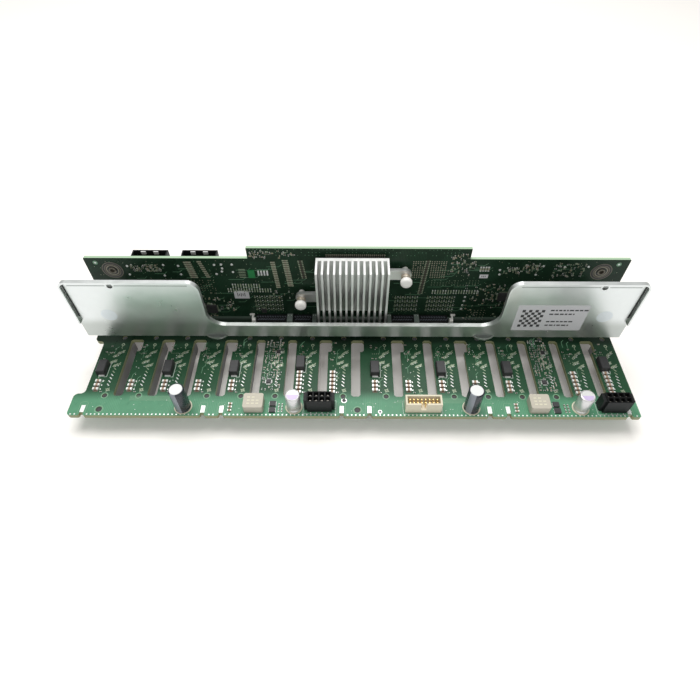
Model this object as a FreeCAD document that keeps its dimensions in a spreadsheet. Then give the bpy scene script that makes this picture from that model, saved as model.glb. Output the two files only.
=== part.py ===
import FreeCAD, Part
import math
import os
import re

import Sketcher
from FreeCAD import Placement, Rotation, Vector

# Drive backplane board: sixteen drive bays under a flat board, an expander board standing on it,
# and a formed steel bracket in front of the expander. Millimetres, +Z up.
# X = 0 is the middle of the board, Y = 0 the middle of its depth, Z = 0 the feet of the drive connectors.
# Depths are measured from the near edge of the board, and heights on it from its upper face.

sizes = {
    # backplane board
    "board_width": 296,
    "board_depth": 75,
    "board_thick": 2.4,
    "board_corner": 2,
    "ear_step": 5.4,
    "near_ear": 13.5,
    "far_ear": 49.5,
    "ear_curve": 2.4,
    # drive bays, from the left
    "bank_bays": 8,
    "drive_pitch": 18,
    "first_bay": -133.9,
    "bank_gap": 4.8,
    # air slots between the bays
    "slot_width": 5,
    "slot_near": 12.2,
    "slot_length": 38.6,
    "slot_corner": 1,
    "head_extra": 2.2,
    "head_length": 8.4,
    # hook notches of the near edge
    "notch_width": 2,
    "notch_depth": 1.8,
    "notch_mouth": 3.4,
    "hook_span": 62.4,
    "hook_shift": -2.6,
    # holes of the backplane board
    "locating_hole": 1.6,
    "locating_depth": 3.8,
    # drive connectors under the board
    "connector_height": 10,
    "connector_width": 5.6,
    "connector_length": 43.4,
    "connector_near": 10.6,
    "connector_shift": 2.2,
    "connector_end": 4.4,
    "end_width": 6.2,
    "blade_width": 2.4,
    "blade_length": 32.6,
    "blade_depth": 5.2,
    "key_gap": 1.6,
    "key_shift": 5.4,
    "peg_radius": 1.2,
    "peg_hole_corner": 0.8,
    "peg_inset": 1.7,
    "peg_clearance": 0.15,
    "peg_recess": 0.5,
    # expander board
    "expander_width": 288,
    "expander_shift": 1.5,
    "expander_front": 67,
    "expander_thick": 1.7,
    "expander_foot": 2.6,
    "expander_top": 47.3,
    "raised_width": 117,
    "raised_shift": 2.4,
    "raised_top": 54.2,
    "expander_corner": 0.8,
    "fixing_span": 262,
    "fixing_height": 38.8,
    "fixing_radius": 2.1,
    "tooling_span": 277,
    "tooling_height": 44,
    "tooling_radius": 0.9,
    # bracket
    "bracket_width": 296,
    "bracket_front": 47,
    "bracket_steel": 1,
    "bracket_foot": 8.1,
    "bracket_top": 50.2,
    "band_top": 19,
    "lobe_inner": 78,
    "lobe_corner": 6,
    "lobe_hollow": 9,
    "end_corner": 4,
    "lip_depth": 2,
    "lip_end": 20,
    "bend_bevel": 0.6,
    "spy_span": 248.6,
    "spy_height": 46.4,
    "spy_radius": 1.5,
    "tab_span": 148,
    "tab_shift": -1.9,
    "tab_chord": 11.8,
    "tab_reach": 2.5,
    # spacers between the bracket and the expander
    "spacer_span": 264,
    "spacer_height": 25,
    "spacer_head": 3.9,
    "spacer_radius": 3,
    # chip, pad and heat sink, stacked on the expander
    "sink_shift": -1,
    "sink_middle": 31.6,
    "sink_width": 38,
    "sink_height": 37.2,
    "sink_base": 2.2,
    "fin_count": 13,
    "fin_thick": 1.1,
    "fin_depth": 10.2,
    "chip_side": 33,
    "chip_thick": 2.2,
    "pad_side": 27,
    "pad_thick": 0.6,
    "arm_height": 6.2,
    "arm_reach": 9.2,
    "arm_offset": 8.6,
    # push pins of the heat sink
    "pin_radius": 1.5,
    "pin_clearance": 0.25,
    "pin_head": 3.1,
    "pin_head_thick": 2.6,
    "pin_dome": 0.9,
    "pin_barb": 2,
    "spring_gap": 4.4,
    "spring_wire": 0.3,
    "spring_coil": 2.2,
    "spring_turns": 2,
    # cable receptacles behind the expander
    "cable_width": 18.8,
    "cable_pitch": 26.5,
    "cable_first": -109,
    "cable_depth": 6.2,
    "cable_height": 15,
    "cable_top": 48,
    "mouth_width": 15.6,
    "mouth_depth": 3.4,
    "mouth_deep": 8,
    "rim_notch": 2.5,
    "rim_notch_pitch": 5.9,
    "rim_notch_shift": 2.35,
    # board-to-board connectors
    "joint_length": 37,
    "joint_left": -38.5,
    "joint_right": 35.4,
    "joint_depth": 6.4,
    "joint_split": 5.4,
    "joint_top": 11,
    "joint_wall": 1.1,
    "joint_bars": 3,
    # power headers
    "cell_pitch": 3,
    "cell_side": 2.4,
    "cell_deep": 7.4,
    "power_cells": 4,
    "power_near": 2.6,
    "power_depth": 6.4,
    "power_height": 9.5,
    "power_left": -17.8,
    "power_right": 134.6,
    "lug_width": 1.6,
    "lug_height": 8.6,
    "lug_setback": 1.3,
    "power_pin": 1,
    "power_pin_long": 5.6,
    # signal header
    "signal_x": 35.8,
    "signal_near": 2.3,
    "signal_width": 18.6,
    "signal_depth": 6.2,
    "signal_height": 7.4,
    "signal_wall": 0.9,
    "signal_floor": 2.4,
    "signal_key": 3,
    "signal_pins": 8,
    "signal_pitch": 2,
    "signal_pin": 0.5,
    "signal_pin_long": 3.8,
    # capacitor cans
    "can_near": 5.4,
    "bulk_radius": 4,
    "bulk_height": 16,
    "bulk_left": -88.7,
    "bulk_right": 61.1,
    "polymer_radius": 3.8,
    "polymer_height": 11.6,
    "polymer_left": -31.1,
    "polymer_right": 117.9,
    "can_round": 0.7,
    # chokes and the power chips beside them
    "choke_left": -51.9,
    "choke_right": 95.9,
    "choke_width": 10.2,
    "choke_depth": 8.8,
    "choke_height": 5,
    "choke_near": 2,
    "choke_corner": 1.1,
    "regulator_gap": 2.9,
    "regulator_width": 3.2,
    "regulator_depth": 2.9,
    "regulator_height": 1,
    "regulator_pitch": 3.8,
    # moulded blocks and chip capacitors of the strips
    "block_width": 5.6,
    "block_depth": 6.8,
    "block_height": 3.8,
    "block_near": 27.2,
    "far_block_near": 30.6,
    "block_taper": 0.5,
    "chip_long": 3,
    "chip_wide": 1.5,
    "chip_high": 1.2,
    "chip_pitch": 2.6,
    "chip_near": 15.4,
    "long_chip_near": 13.9,
    "chip_shift": -3.6,
}

# which slots have a wide far end, and which bays carry a moulded block, a long ladder or none
wide_slots = (1, 2, 3, 4, 7, 8, 9, 11, 15)
block_bays = (1, 3, 5, 7, 9, 11, 13, 16)
long_ladders = (7, 8, 15, 16)
no_ladders = (6, 14)

doc = FreeCAD.newDocument("drive_backplane_board")
sheet = doc.addObject("Spreadsheet::Sheet", "sizes")
for row, (word, number) in enumerate(sizes.items(), 1):
    sheet.set(f"A{row}", word)
    sheet.set(f"B{row}", str(number))
    sheet.setAlias(f"B{row}", word)
doc.recompute()

near = "(-board_depth / 2)"
deck = "(connector_height + board_thick)"
margin = 2   # how far a cutting outline reaches past what it cuts
bays = 2 * sizes["bank_bays"]
parts = []


def spell(words):
    """Turn a formula in the sheet's words into a FreeCAD expression."""
    def named(match):
        word = match.group()
        return "sizes." + word if word in sizes else word
    return re.sub(r"[a-z_]+", named, str(words))


def value(words):
    return float(sheet.evalExpression(spell(words)))


def bind(thing, path, words):
    thing.setExpression(path, spell(words))


def place(thing, x=0, y=0, z=0):
    for axis, words in (("x", x), ("y", y), ("z", z)):
        bind(thing, "Placement.Base." + axis, words)
    return thing


def part(name, thing):
    """Keep a finished object as the sub-part of that name."""
    thing.Label = name
    parts.append(thing)
    return thing


# ---- solids from primitives ----

def block(name, x, y, z):
    """Box between two values along each axis."""
    box = doc.addObject("Part::Box", name)
    for side, (low, high) in (("Length", x), ("Width", y), ("Height", z)):
        bind(box, side, f"({high}) - ({low})")
    return place(box, x[0], y[0], z[0])


def rod(name, radius, length, x, y, z, turn=None):
    """Cylinder that starts at a point, upright unless it is turned."""
    cylinder = doc.addObject("Part::Cylinder", name)
    bind(cylinder, "Radius", radius)
    bind(cylinder, "Height", length)
    if turn:
        cylinder.Placement.Rotation = turn
    return place(cylinder, x, y, z)


def post(name, radius, length, x, y, z):
    """Upright eight-sided post, its radius measured to the corners."""
    prism = doc.addObject("Part::Prism", name)
    prism.Polygon = 8
    bind(prism, "Circumradius", radius)
    bind(prism, "Height", length)
    return place(prism, x, y, z)


def fuse(name, things):
    joined = doc.addObject("Part::MultiFuse", name)
    joined.Shapes = things
    joined.Refine = True
    return joined


def cut(name, base, tools):
    result = doc.addObject("Part::Cut", name)
    result.Base = base
    result.Tool = tools[0] if len(tools) == 1 else fuse(name + "_tools", tools)
    result.Refine = True
    return result


def group(name, things):
    bundle = doc.addObject("Part::Compound", name)
    bundle.Links = things
    return bundle


backward = Rotation(Vector(1, 0, 0), -90)   # turns +Z into +Y
forward = Rotation(Vector(1, 0, 0), 90)     # turns +Z into -Y


# ---- solids from sketches ----

def origin_part(body, role):
    return next(item for item in body.Origin.OriginFeatures if item.Role == role)


def new_sketch(body, name, role="XY_Plane", offset="0"):
    sketch = body.newObject("Sketcher::SketchObject", name)
    sketch.AttachmentSupport = (origin_part(body, role), "")
    sketch.MapMode = "FlatFace"
    bind(sketch, "AttachmentOffset.Base.z", offset)
    return sketch


def draw(sketch, corners):
    """Closed outline through corners (x, y) or (x, y, radius), each held by the sheet."""
    count = len(corners)
    spots = [Vector(value(corner[0]), value(corner[1]), 0) for corner in corners]
    ends = []
    for index, corner in enumerate(corners):
        spot = spots[index]
        if len(corner) == 2:
            ends.append((spot, spot))
            continue
        back = (spots[index - 1] - spot).normalize()
        ahead = (spots[(index + 1) % count] - spot).normalize()
        reach = value(corner[2]) / math.tan(back.getAngle(ahead) / 2)
        ends.append((spot + back * reach, spot + ahead * reach))

    lines = [sketch.addGeometry(Part.LineSegment(ends[index][1], ends[(index + 1) % count][0]), False)
             for index in range(count)]
    rules = []
    for index, corner in enumerate(corners):
        before, after = lines[index - 1], lines[index]
        if len(corner) == 2:
            rules.append(("", "Coincident", before, 2, after, 1))
            rules += at_spot(after, 1, corner)
            continue
        point = sketch.addGeometry(Part.Point(spots[index]), True)
        start, finish = ends[index]
        left_turn = (spots[index] - start).cross(finish - spots[index]).z > 0
        arc = corner_arc(spots[index], start, finish, value(corner[2]), left_turn)
        curve = sketch.addGeometry(arc, False)
        entry, leave = (1, 2) if left_turn else (2, 1)
        rules += at_spot(point, 1, corner)
        rules += [
            ("", "PointOnObject", point, 1, before),
            ("", "PointOnObject", point, 1, after),
            ("", "Tangent", before, 2, curve, entry),
            ("", "Tangent", curve, leave, after, 1),
            (corner[2], "Radius", curve, value(corner[2])),
        ]
    hold(sketch, rules)


def corner_arc(spot, start, finish, radius, left_turn):
    """Arc that rounds a corner between two points on its sides."""
    half = (start - spot).getAngle(finish - spot) / 2
    centre = spot + ((start - spot) + (finish - spot)).normalize() * (radius / math.sin(half))
    circle = Part.Circle(centre, Vector(0, 0, 1), radius)
    first, last = (start, finish) if left_turn else (finish, start)
    return Part.ArcOfCircle(circle, circle.parameter(first), circle.parameter(last))


def at_spot(geometry, end, spot):
    """Rules that hold one point of a shape at x and y from the sketch's origin."""
    return [
        (spot[0], "DistanceX", -1, 1, geometry, end, value(spot[0])),
        (spot[1], "DistanceY", -1, 1, geometry, end, value(spot[1])),
    ]


def hold(sketch, rules):
    """Add constraints together, and bind to the sheet each one that has a formula."""
    first = sketch.ConstraintCount
    sketch.addConstraint([Sketcher.Constraint(*rule[1:]) for rule in rules])
    for index, rule in enumerate(rules, first):
        if rule[0]:
            bind(sketch, f"Constraints[{index}]", rule[0])


def ring(sketch, x, y, radius):
    """Circle held by the sheet."""
    spot = Vector(value(x), value(y), 0)
    circle = sketch.addGeometry(Part.Circle(spot, Vector(0, 0, 1), value(radius)), False)
    hold(sketch, at_spot(circle, 3, (x, y)) + [(radius, "Radius", circle, value(radius))])


def rectangle(x, y, radius=None):
    corners = [(x[0], y[0]), (x[1], y[0]), (x[1], y[1]), (x[0], y[1])]
    return [corner + (radius,) for corner in corners] if radius else corners


def bevelled(x, y, corner):
    """Rectangle with its corners cut off."""
    return [
        (f"{x[0]} + {corner}", y[0]), (f"{x[1]} - {corner}", y[0]),
        (x[1], f"{y[0]} + {corner}"), (x[1], f"{y[1]} - {corner}"),
        (f"{x[1]} - {corner}", y[1]), (f"{x[0]} + {corner}", y[1]),
        (x[0], f"{y[1]} - {corner}"), (x[0], f"{y[0]} + {corner}"),
    ]


def pad(body, sketch, length, name):
    feature = body.newObject("PartDesign::Pad", name)
    feature.Profile = sketch
    bind(feature, "Length", length)
    return feature


def pocket(body, sketch, name, length=None, reverse=False):
    """Cut a sketch through everything, or to a depth, and make sure that it cuts."""
    doc.recompute()
    before = body.Shape.Volume
    feature = body.newObject("PartDesign::Pocket", name)
    feature.Profile = sketch
    feature.Reversed = reverse
    if length:
        bind(feature, "Length", length)
    else:
        feature.Type = "ThroughAll"
        feature.Midplane = True
    doc.recompute()
    if body.Shape.Volume > before - 0.001:
        raise RuntimeError(name + " cuts nothing")
    return feature


def row_of(body, feature, sketch, step, count, name):
    """Repeat a feature along the sketch's horizontal axis."""
    pattern = body.newObject("PartDesign::LinearPattern", name)
    pattern.Originals = [feature]
    pattern.Direction = (sketch, ["H_Axis"])
    pattern.Mode = "Extent"
    bind(pattern, "Length", f"({step}) * ({count} - 1)")
    bind(pattern, "Occurrences", count)
    body.Tip = pattern
    return pattern


def turned(name, corners, x, y, z, turn=None):
    """Solid of revolution: the outline is radius and height, standing on the point given."""
    body = doc.addObject("PartDesign::Body", name)
    sketch = new_sketch(body, name + "_profile", "XZ_Plane")
    draw(sketch, corners)
    spin = body.newObject("PartDesign::Revolution", name + "_turn")
    spin.Profile = sketch
    spin.ReferenceAxis = (sketch, ["V_Axis"])
    spin.Angle = 360
    if turn:
        body.Placement.Rotation = turn
    return place(body, x, y, z)


# ---- places that pieces share ----

def bay(number):
    """Middle of a drive bay's strip, bays counted from 1 at the left."""
    gap = " + bank_gap" if number > sizes["bank_bays"] else ""
    return f"(first_bay + {number - 1} * drive_pitch{gap})"


def depth(words):
    """Y of a depth behind the near edge."""
    return f"({near} + {words})"


def above(words):
    """Z of a height above the board's upper face."""
    return f"({deck} + {words})"


peg_depths = (depth("connector_near + peg_inset"), depth("connector_near + connector_length - peg_inset"))


# ---- backplane board ----

def make_backplane():
    body = doc.addObject("PartDesign::Body", "backplane_board")
    outline = new_sketch(body, "board_outline", offset="connector_height")
    right, left = "board_width / 2", "-board_width / 2"
    inner = left + " + ear_step"
    draw(outline, [
        (left, near, "board_corner"),
        (right, near, "board_corner / 2"),
        (right, depth("board_depth"), "board_corner / 2"),
        (left, depth("board_depth"), "board_corner"),
        (left, depth("far_ear"), "ear_curve"),
        (inner, depth("far_ear"), "ear_curve"),
        (inner, depth("near_ear"), "ear_curve"),
        (left, depth("near_ear"), "ear_curve"),
    ])
    pad(body, outline, "board_thick", "board_pad")

    half = "slot_width / 2"
    slot_end = depth("slot_near + slot_length")
    banks = (("left", 1, "bank_bays"), ("right", sizes["bank_bays"] + 1, "bank_bays - 1"))
    for bank, first, count in banks:
        middle = f"{bay(first)} + drive_pitch / 2"
        sketch = new_sketch(body, f"slot_{bank}", offset="connector_height")
        across = (f"{middle} - {half}", f"{middle} + {half}")
        draw(sketch, bevelled(across, (depth("slot_near"), slot_end), "slot_corner"))
        slot = pocket(body, sketch, f"slot_{bank}_cut")
        row_of(body, slot, sketch, "drive_pitch", count, f"slot_{bank}_row")
    for number in wide_slots:
        middle = f"{bay(number)} + drive_pitch / 2"
        head = new_sketch(body, f"slot_head_{number}", offset="connector_height")
        draw(head, bevelled((f"{middle} - {half}", f"{middle} + {half} + head_extra"),
                            (f"{slot_end} - head_length", slot_end), "slot_corner"))
        pocket(body, head, f"slot_head_{number}_cut")

    # chamfered notches where the chassis hooks reach in, a pair to each group of four bays
    notches = new_sketch(body, "hook_notches", offset="connector_height")
    for first in range(1, bays, 4):
        for side in (-1, 1):
            x = f"(({bay(first)} + {bay(first + 3)}) / 2 + hook_shift + {side} * hook_span / 2)"
            slope = "(notch_mouth - notch_width) / 2"
            draw(notches, [
                (f"{x} - notch_mouth / 2", f"{near} - notch_depth"),
                (f"{x} + notch_mouth / 2", f"{near} - notch_depth"),
                (f"{x} + notch_mouth / 2", near),
                (f"{x} + notch_width / 2", depth(slope)),
                (f"{x} + notch_width / 2", depth("notch_depth")),
                (f"{x} - notch_width / 2", depth("notch_depth")),
                (f"{x} - notch_width / 2", depth(slope)),
                (f"{x} - notch_mouth / 2", near),
            ])
    pocket(body, notches, "hook_notches_cut")

    # holes for the drive connectors' pegs, eight-sided like the pegs
    reach = "(peg_radius + peg_clearance)"
    for bank, first, _ in banks:
        x = f"({bay(first)} + connector_shift)"
        across = (f"{x} - {reach}", f"{x} + {reach}")
        sketch = new_sketch(body, f"peg_holes_{bank}", offset="connector_height")
        for y in peg_depths:
            draw(sketch, bevelled(across, (f"{y} - {reach}", f"{y} + {reach}"), "peg_hole_corner"))
        pair = pocket(body, sketch, f"peg_holes_{bank}_cut")
        row_of(body, pair, sketch, "drive_pitch", "bank_bays", f"peg_holes_{bank}_row")

    # the two holes that locate the board
    holes = new_sketch(body, "board_holes", offset="connector_height")
    ring(holes, f"{bay(1)} + peg_inset", depth("locating_depth"), "locating_hole")
    ring(holes, f"({bay(bays // 2)} + {bay(bays // 2 + 1)}) / 2 - locating_hole", depth("locating_depth"),
         "locating_hole")
    pocket(body, holes, "board_holes_cut")
    part("backplane_board", body)


# ---- drive connectors ----

def make_drive_connector(number):
    name = f"drive_connector_{number:02d}"
    x = f"({bay(number)} + connector_shift)"
    start, end = depth("connector_near"), depth("connector_near + connector_length")
    middle = f"(({start} + {end}) / 2)"
    height = ("0", "connector_height")

    def across(width):
        return (f"{x} - {width} / 2", f"{x} + {width} / 2")

    solids = [
        block(name + "_core", across("connector_width"), (start, end), height),
        block(name + "_near_end", across("end_width"), (start, f"{start} + connector_end"), height),
        block(name + "_far_end", across("end_width"), (f"{end} - connector_end", end), height),
    ]
    for side, y in zip(("near", "far"), peg_depths):
        solids.append(post(f"{name}_{side}_peg", "peg_radius", "board_thick - peg_recess", x, y,
                           "connector_height"))
    # the blade slot has a bar across it between the power and the signal contacts
    key = f"({middle} - key_shift)"
    mouth = (f"-{margin}", "blade_depth")
    reaches = {
        "power": ("blade_width", f"{middle} - blade_length / 2", f"{key} - key_gap / 2"),
        "signal": ("blade_width", f"{key} + key_gap / 2", f"{middle} + blade_length / 2"),
    }
    hollows = [block(f"{name}_{word}", across(width), (low, high), mouth)
               for word, (width, low, high) in reaches.items()]
    part(name, cut(name, fuse(name + "_body", solids), hollows))


# ---- expander board ----

def make_expander():
    body = doc.addObject("PartDesign::Body", "expander_board")
    back = f"-{depth('expander_front + expander_thick')}"
    outline = new_sketch(body, "expander_outline", "XZ_Plane", back)
    left, right = "expander_shift - expander_width / 2", "expander_shift + expander_width / 2"
    raised_left, raised_right = "raised_shift - raised_width / 2", "raised_shift + raised_width / 2"
    draw(outline, [
        (left, above("expander_foot")),
        (right, above("expander_foot")),
        (right, above("expander_top"), "expander_corner"),
        (raised_right, above("expander_top")),
        (raised_right, above("raised_top")),
        (raised_left, above("raised_top")),
        (raised_left, above("expander_top")),
        (left, above("expander_top"), "expander_corner"),
    ])
    pad(body, outline, "expander_thick", "expander_pad")
    holes = new_sketch(body, "expander_holes", "XZ_Plane", back)
    for side in (-1, 1):
        ring(holes, f"expander_shift + {side} * fixing_span / 2", above("fixing_height"), "fixing_radius")
        x = f"expander_shift + {side} * tooling_span / 2"
        ring(holes, x, above("tooling_height"), "tooling_radius")
        ring(holes, arm_x(side), arm_z(side), "pin_radius + pin_clearance")
    pocket(body, holes, "expander_holes_cut")
    part("expander_board", body)


# ---- bracket: sheet steel, its upper edge and ends turned forward into a lip ----

def bracket_path(inset, end):
    """Half of the upper outline, from the right end over the lobe to the band, moved in by a value."""
    return [
        (f"bracket_width / 2 - {inset}", end),
        (f"bracket_width / 2 - {inset}", above(f"bracket_top - {inset}"), f"end_corner - {inset}"),
        (f"lobe_inner + {inset}", above(f"bracket_top - {inset}"), f"lobe_corner - {inset}"),
        (f"lobe_inner + {inset}", above(f"band_top - {inset}"), f"lobe_hollow + {inset}"),
    ]


def mirrored(corners):
    """The same corners on the left side, in the order that closes the outline."""
    return [(f"-({corner[0]})",) + tuple(corner[1:]) for corner in reversed(corners)]


def make_bracket():
    body = doc.addObject("PartDesign::Body", "bracket_sheet")
    back = f"-{depth('bracket_front + bracket_steel')}"
    outline = new_sketch(body, "bracket_outline", "XZ_Plane", back)
    half = bracket_path("0", above("bracket_foot"))
    draw(outline, half + mirrored(half))
    pad(body, outline, "bracket_steel + lip_depth", "bracket_pad")

    # everything in front of the sheet goes, but for the lip
    hollow = new_sketch(body, "bracket_hollow", "XZ_Plane", f"-{depth('bracket_front')}")
    inner = bracket_path("bracket_steel", above("lip_end"))
    foot = [(f"bracket_width / 2 + {margin}", above(f"bracket_foot - {margin}")),
            (f"bracket_width / 2 + {margin}", above("lip_end"))]
    draw(hollow, foot + inner + mirrored(inner) + mirrored(foot))
    pocket(body, hollow, "bracket_hollow_cut", f"lip_depth + {margin}", reverse=True)

    holes = new_sketch(body, "bracket_holes", "XZ_Plane", back)
    for side in (-1, 1):
        ring(holes, f"expander_shift + {side} * spacer_span / 2", above("spacer_height"), "spacer_head")
        ring(holes, f"expander_shift + {side} * spy_span / 2", above("spy_height"), "spy_radius")
    sheet_steel = pocket(body, holes, "bracket_holes_cut")

    # the outer edge of the bend is taken off
    bend = [f"Edge{index}" for index, edge in enumerate(body.Shape.Edges, 1) if on_bend(edge)]
    bevel = body.newObject("PartDesign::Chamfer", "bracket_bend")
    bevel.Base = (sheet_steel, bend)
    bind(bevel, "Size", "bend_bevel")

    # half-round tabs at the foot of the band, turned forward
    foot_z = (above("bracket_foot"), above("bracket_foot + bracket_steel"))
    tab_radius = "((tab_chord / 2) ^ 2 + tab_reach ^ 2) / (2 * tab_reach)"
    tabs = []
    for side, name in ((-1, "left"), (1, "right")):
        x = f"(tab_shift + {side} * tab_span / 2)"
        disc = rod(f"tab_{name}_disc", tab_radius, "bracket_steel", x,
                   depth(f"bracket_front - tab_reach + {tab_radius}"), foot_z[0])
        front = depth(f"bracket_front - tab_reach - {margin}")
        reach = (front, depth("bracket_front + bracket_steel / 2"))
        strip = block(f"tab_{name}_strip", (f"{x} - tab_chord", f"{x} + tab_chord"), reach, foot_z)
        tab = doc.addObject("Part::MultiCommon", f"tab_{name}")
        tab.Shapes = [disc, strip]
        tabs.append(tab)
    part("bracket", fuse("bracket", [body] + tabs))



def on_bend(edge):
    """True for the edges at the back of the sheet that follow its upper outline and ends."""
    back = value(depth("bracket_front + bracket_steel"))
    box = edge.BoundBox
    if abs(box.YMin - back) > 0.001 or abs(box.YMax - back) > 0.001:
        return False
    if box.ZMax < value(above("bracket_foot")) + 0.001:
        return False
    closed = edge.Vertexes[0].Point == edge.Vertexes[-1].Point
    return not closed


# ---- spacers clinched into the bracket, ending on the expander ----

def make_spacers():
    spacers = []
    for side, name in ((-1, "left"), (1, "right")):
        x = f"expander_shift + {side} * spacer_span / 2"
        spacers.append(turned(f"spacer_{name}", [
            ("0", "0"),
            ("spacer_head", "0"),
            ("spacer_head", "bracket_steel"),
            ("spacer_radius", "bracket_steel"),
            ("spacer_radius", "expander_front - bracket_front"),
            ("0", "expander_front - bracket_front"),
        ], x, depth("bracket_front"), above("spacer_height"), backward))
    part("bracket_spacers", group("bracket_spacers", spacers))


# ---- heat sink, its chip and the pins that hold it ----

def arm_x(side):
    return f"(sink_shift + {side} * (sink_width / 2 + arm_reach))"


def arm_z(side):
    return above(f"sink_middle + {side} * arm_offset")


chip_front = "(expander_front - chip_thick)"
pad_front = f"({chip_front} - pad_thick)"
base_front = f"({pad_front} - sink_base)"


def make_heat_sink():
    comb = doc.addObject("PartDesign::Body", "sink_comb")
    low = above("sink_middle - sink_height / 2")
    left = "sink_shift - sink_width / 2"
    plate = new_sketch(comb, "sink_outline", offset=low)
    draw(plate, rectangle((left, f"{left} + sink_width"),
                          (depth(f"{base_front} - fin_depth"), depth(f"{base_front} + sink_base"))))
    pad(comb, plate, "sink_height", "sink_block")
    pitch = "((sink_width - fin_thick) / (fin_count - 1))"
    channel = new_sketch(comb, "sink_channel", offset=low)
    draw(channel, rectangle((f"{left} + fin_thick", f"{left} + {pitch}"),
                            (depth(f"{base_front} - fin_depth - {margin}"), depth(base_front))))
    first = pocket(comb, channel, "sink_channel_cut", "sink_height", reverse=True)
    row_of(comb, first, channel, pitch, "fin_count - 1", "sink_channels")

    arms, holes = [comb], []
    y = (depth(base_front), depth(f"{base_front} + sink_base"))
    for side, name in ((-1, "left"), (1, "right")):
        x, z = arm_x(side), arm_z(side)
        reach = sorted((x, f"sink_shift + {side} * sink_width / 2"), key=value)
        arms.append(block(f"arm_{name}", reach, y, (f"{z} - arm_height / 2", f"{z} + arm_height / 2")))
        arms.append(rod(f"ear_{name}", "arm_height / 2", "sink_base", x, y[0], z, backward))
        holes.append(rod(f"arm_hole_{name}", "pin_radius + pin_clearance", f"sink_base + 2 * {margin}", x,
                         f"{y[0]} - {margin}", z, backward))
    part("heat_sink", cut("heat_sink", fuse("sink_body", arms), holes))


def make_chip():
    x = ("sink_shift - chip_side / 2", "sink_shift + chip_side / 2")
    z = (above("sink_middle - chip_side / 2"), above("sink_middle + chip_side / 2"))
    part("expander_chip", block("expander_chip", x, (depth(chip_front), depth("expander_front")), z))
    x = ("sink_shift - pad_side / 2", "sink_shift + pad_side / 2")
    z = (above("sink_middle - pad_side / 2"), above("sink_middle + pad_side / 2"))
    part("thermal_pad", block("thermal_pad", x, (depth(pad_front), depth(chip_front)), z))


def make_pin(side, name):
    """Push pin: domed head in front, shank through arm and board, barbed end behind."""
    shank = "(spring_gap + expander_front + expander_thick - " + base_front + ")"
    start = f"{base_front} - spring_gap - pin_head_thick"
    part(f"push_pin_{name}", turned(f"push_pin_{name}", [
        ("0", "0"),
        ("pin_head - pin_dome", "0"),
        ("pin_head", "pin_dome"),
        ("pin_head", "pin_head_thick"),
        ("pin_radius", "pin_head_thick"),
        ("pin_radius", f"pin_head_thick + {shank} + pin_clearance"),
        ("pin_barb", f"pin_head_thick + {shank} + pin_clearance"),
        ("pin_radius / 2", f"pin_head_thick + {shank} + pin_clearance + 2 * pin_barb - pin_radius"),
        ("0", f"pin_head_thick + {shank} + pin_clearance + 2 * pin_barb - pin_radius"),
    ], arm_x(side), depth(start), arm_z(side), backward))


def make_spring(side, name):
    """Coil spring squeezed between the pin's head and the arm."""
    helix = doc.addObject("Part::Helix", f"spring_path_{name}")
    bind(helix, "Pitch", "(spring_gap - 2 * spring_wire) / spring_turns")
    bind(helix, "Height", "spring_gap - 2 * spring_wire")
    bind(helix, "Radius", "spring_coil")
    wire = doc.addObject("Part::RegularPolygon", f"spring_wire_{name}")
    wire.Polygon = 4
    bind(wire, "Circumradius", "spring_wire")
    wire.Placement = Placement(Vector(value("spring_coil"), 0, 0), Rotation(Vector(1, 0, 0), 90))
    bind(wire, "Placement.Base.x", "spring_coil")
    coil = doc.addObject("Part::Sweep", f"pin_spring_{name}")
    coil.Sections = [wire]
    coil.Spine = (helix, ["Edge1"])
    coil.Solid = True
    coil.Frenet = True
    coil.Placement.Rotation = backward
    place(coil, arm_x(side), depth(f"{base_front} - spring_gap + spring_wire"), arm_z(side))
    part(f"pin_spring_{name}", coil)


# ---- cable receptacles behind the expander, mouths up ----

def make_cable_receptacle(index, name):
    label = f"mini_sas_{name}"
    x = f"(cable_first + {index} * cable_pitch)"
    front = depth("expander_front + expander_thick")
    top = above("cable_top")
    housing = block(label + "_housing", (f"{x} - cable_width / 2", f"{x} + cable_width / 2"),
                    (front, f"{front} + cable_depth"), (f"{top} - cable_height", top))
    wall = "((cable_depth - mouth_depth) / 2)"
    mouth_y = (f"{front} + {wall}", f"{front} + {wall} + mouth_depth")
    hollows = [block(label + "_mouth", (f"{x} - mouth_width / 2", f"{x} + mouth_width / 2"), mouth_y,
                     (f"{top} - mouth_deep", f"{top} + {margin}"))]
    notch_y = (f"{front} + {wall} + mouth_depth / 2", f"{front} + cable_depth + {margin}")
    notch_z = (f"{top} - rim_notch", f"{top} + {margin}")
    for side, word in ((-1, "left"), (1, "right")):
        middle = f"({x} - rim_notch_shift + {side} * rim_notch_pitch / 2)"
        reach = (f"{middle} - rim_notch / 2", f"{middle} + rim_notch / 2")
        hollows.append(block(f"{label}_notch_{word}", reach, notch_y, notch_z))
    part(label, cut(label, housing, hollows))


# ---- board-to-board connectors: a header on the backplane, a socket on the expander ----

def make_board_joint(name):
    x = f"joint_{name}"
    front = depth("expander_front - joint_depth")
    back = depth("expander_front")
    across = (f"{x} - joint_length / 2", f"{x} + joint_length / 2")
    halves = (("board_header", "0", "joint_split"), ("board_socket", "joint_split", "joint_top"))
    for word, low, high in halves:
        label = f"{word}_{name}"
        housing = block(f"{label}_block", across, (front, back), (above(low), above(high)))
        floor, roof = above(f"{low} + joint_wall"), above(f"{high} - joint_wall")
        part(label, cut(label, housing, joint_windows(label, x, front, floor, roof)))


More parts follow.
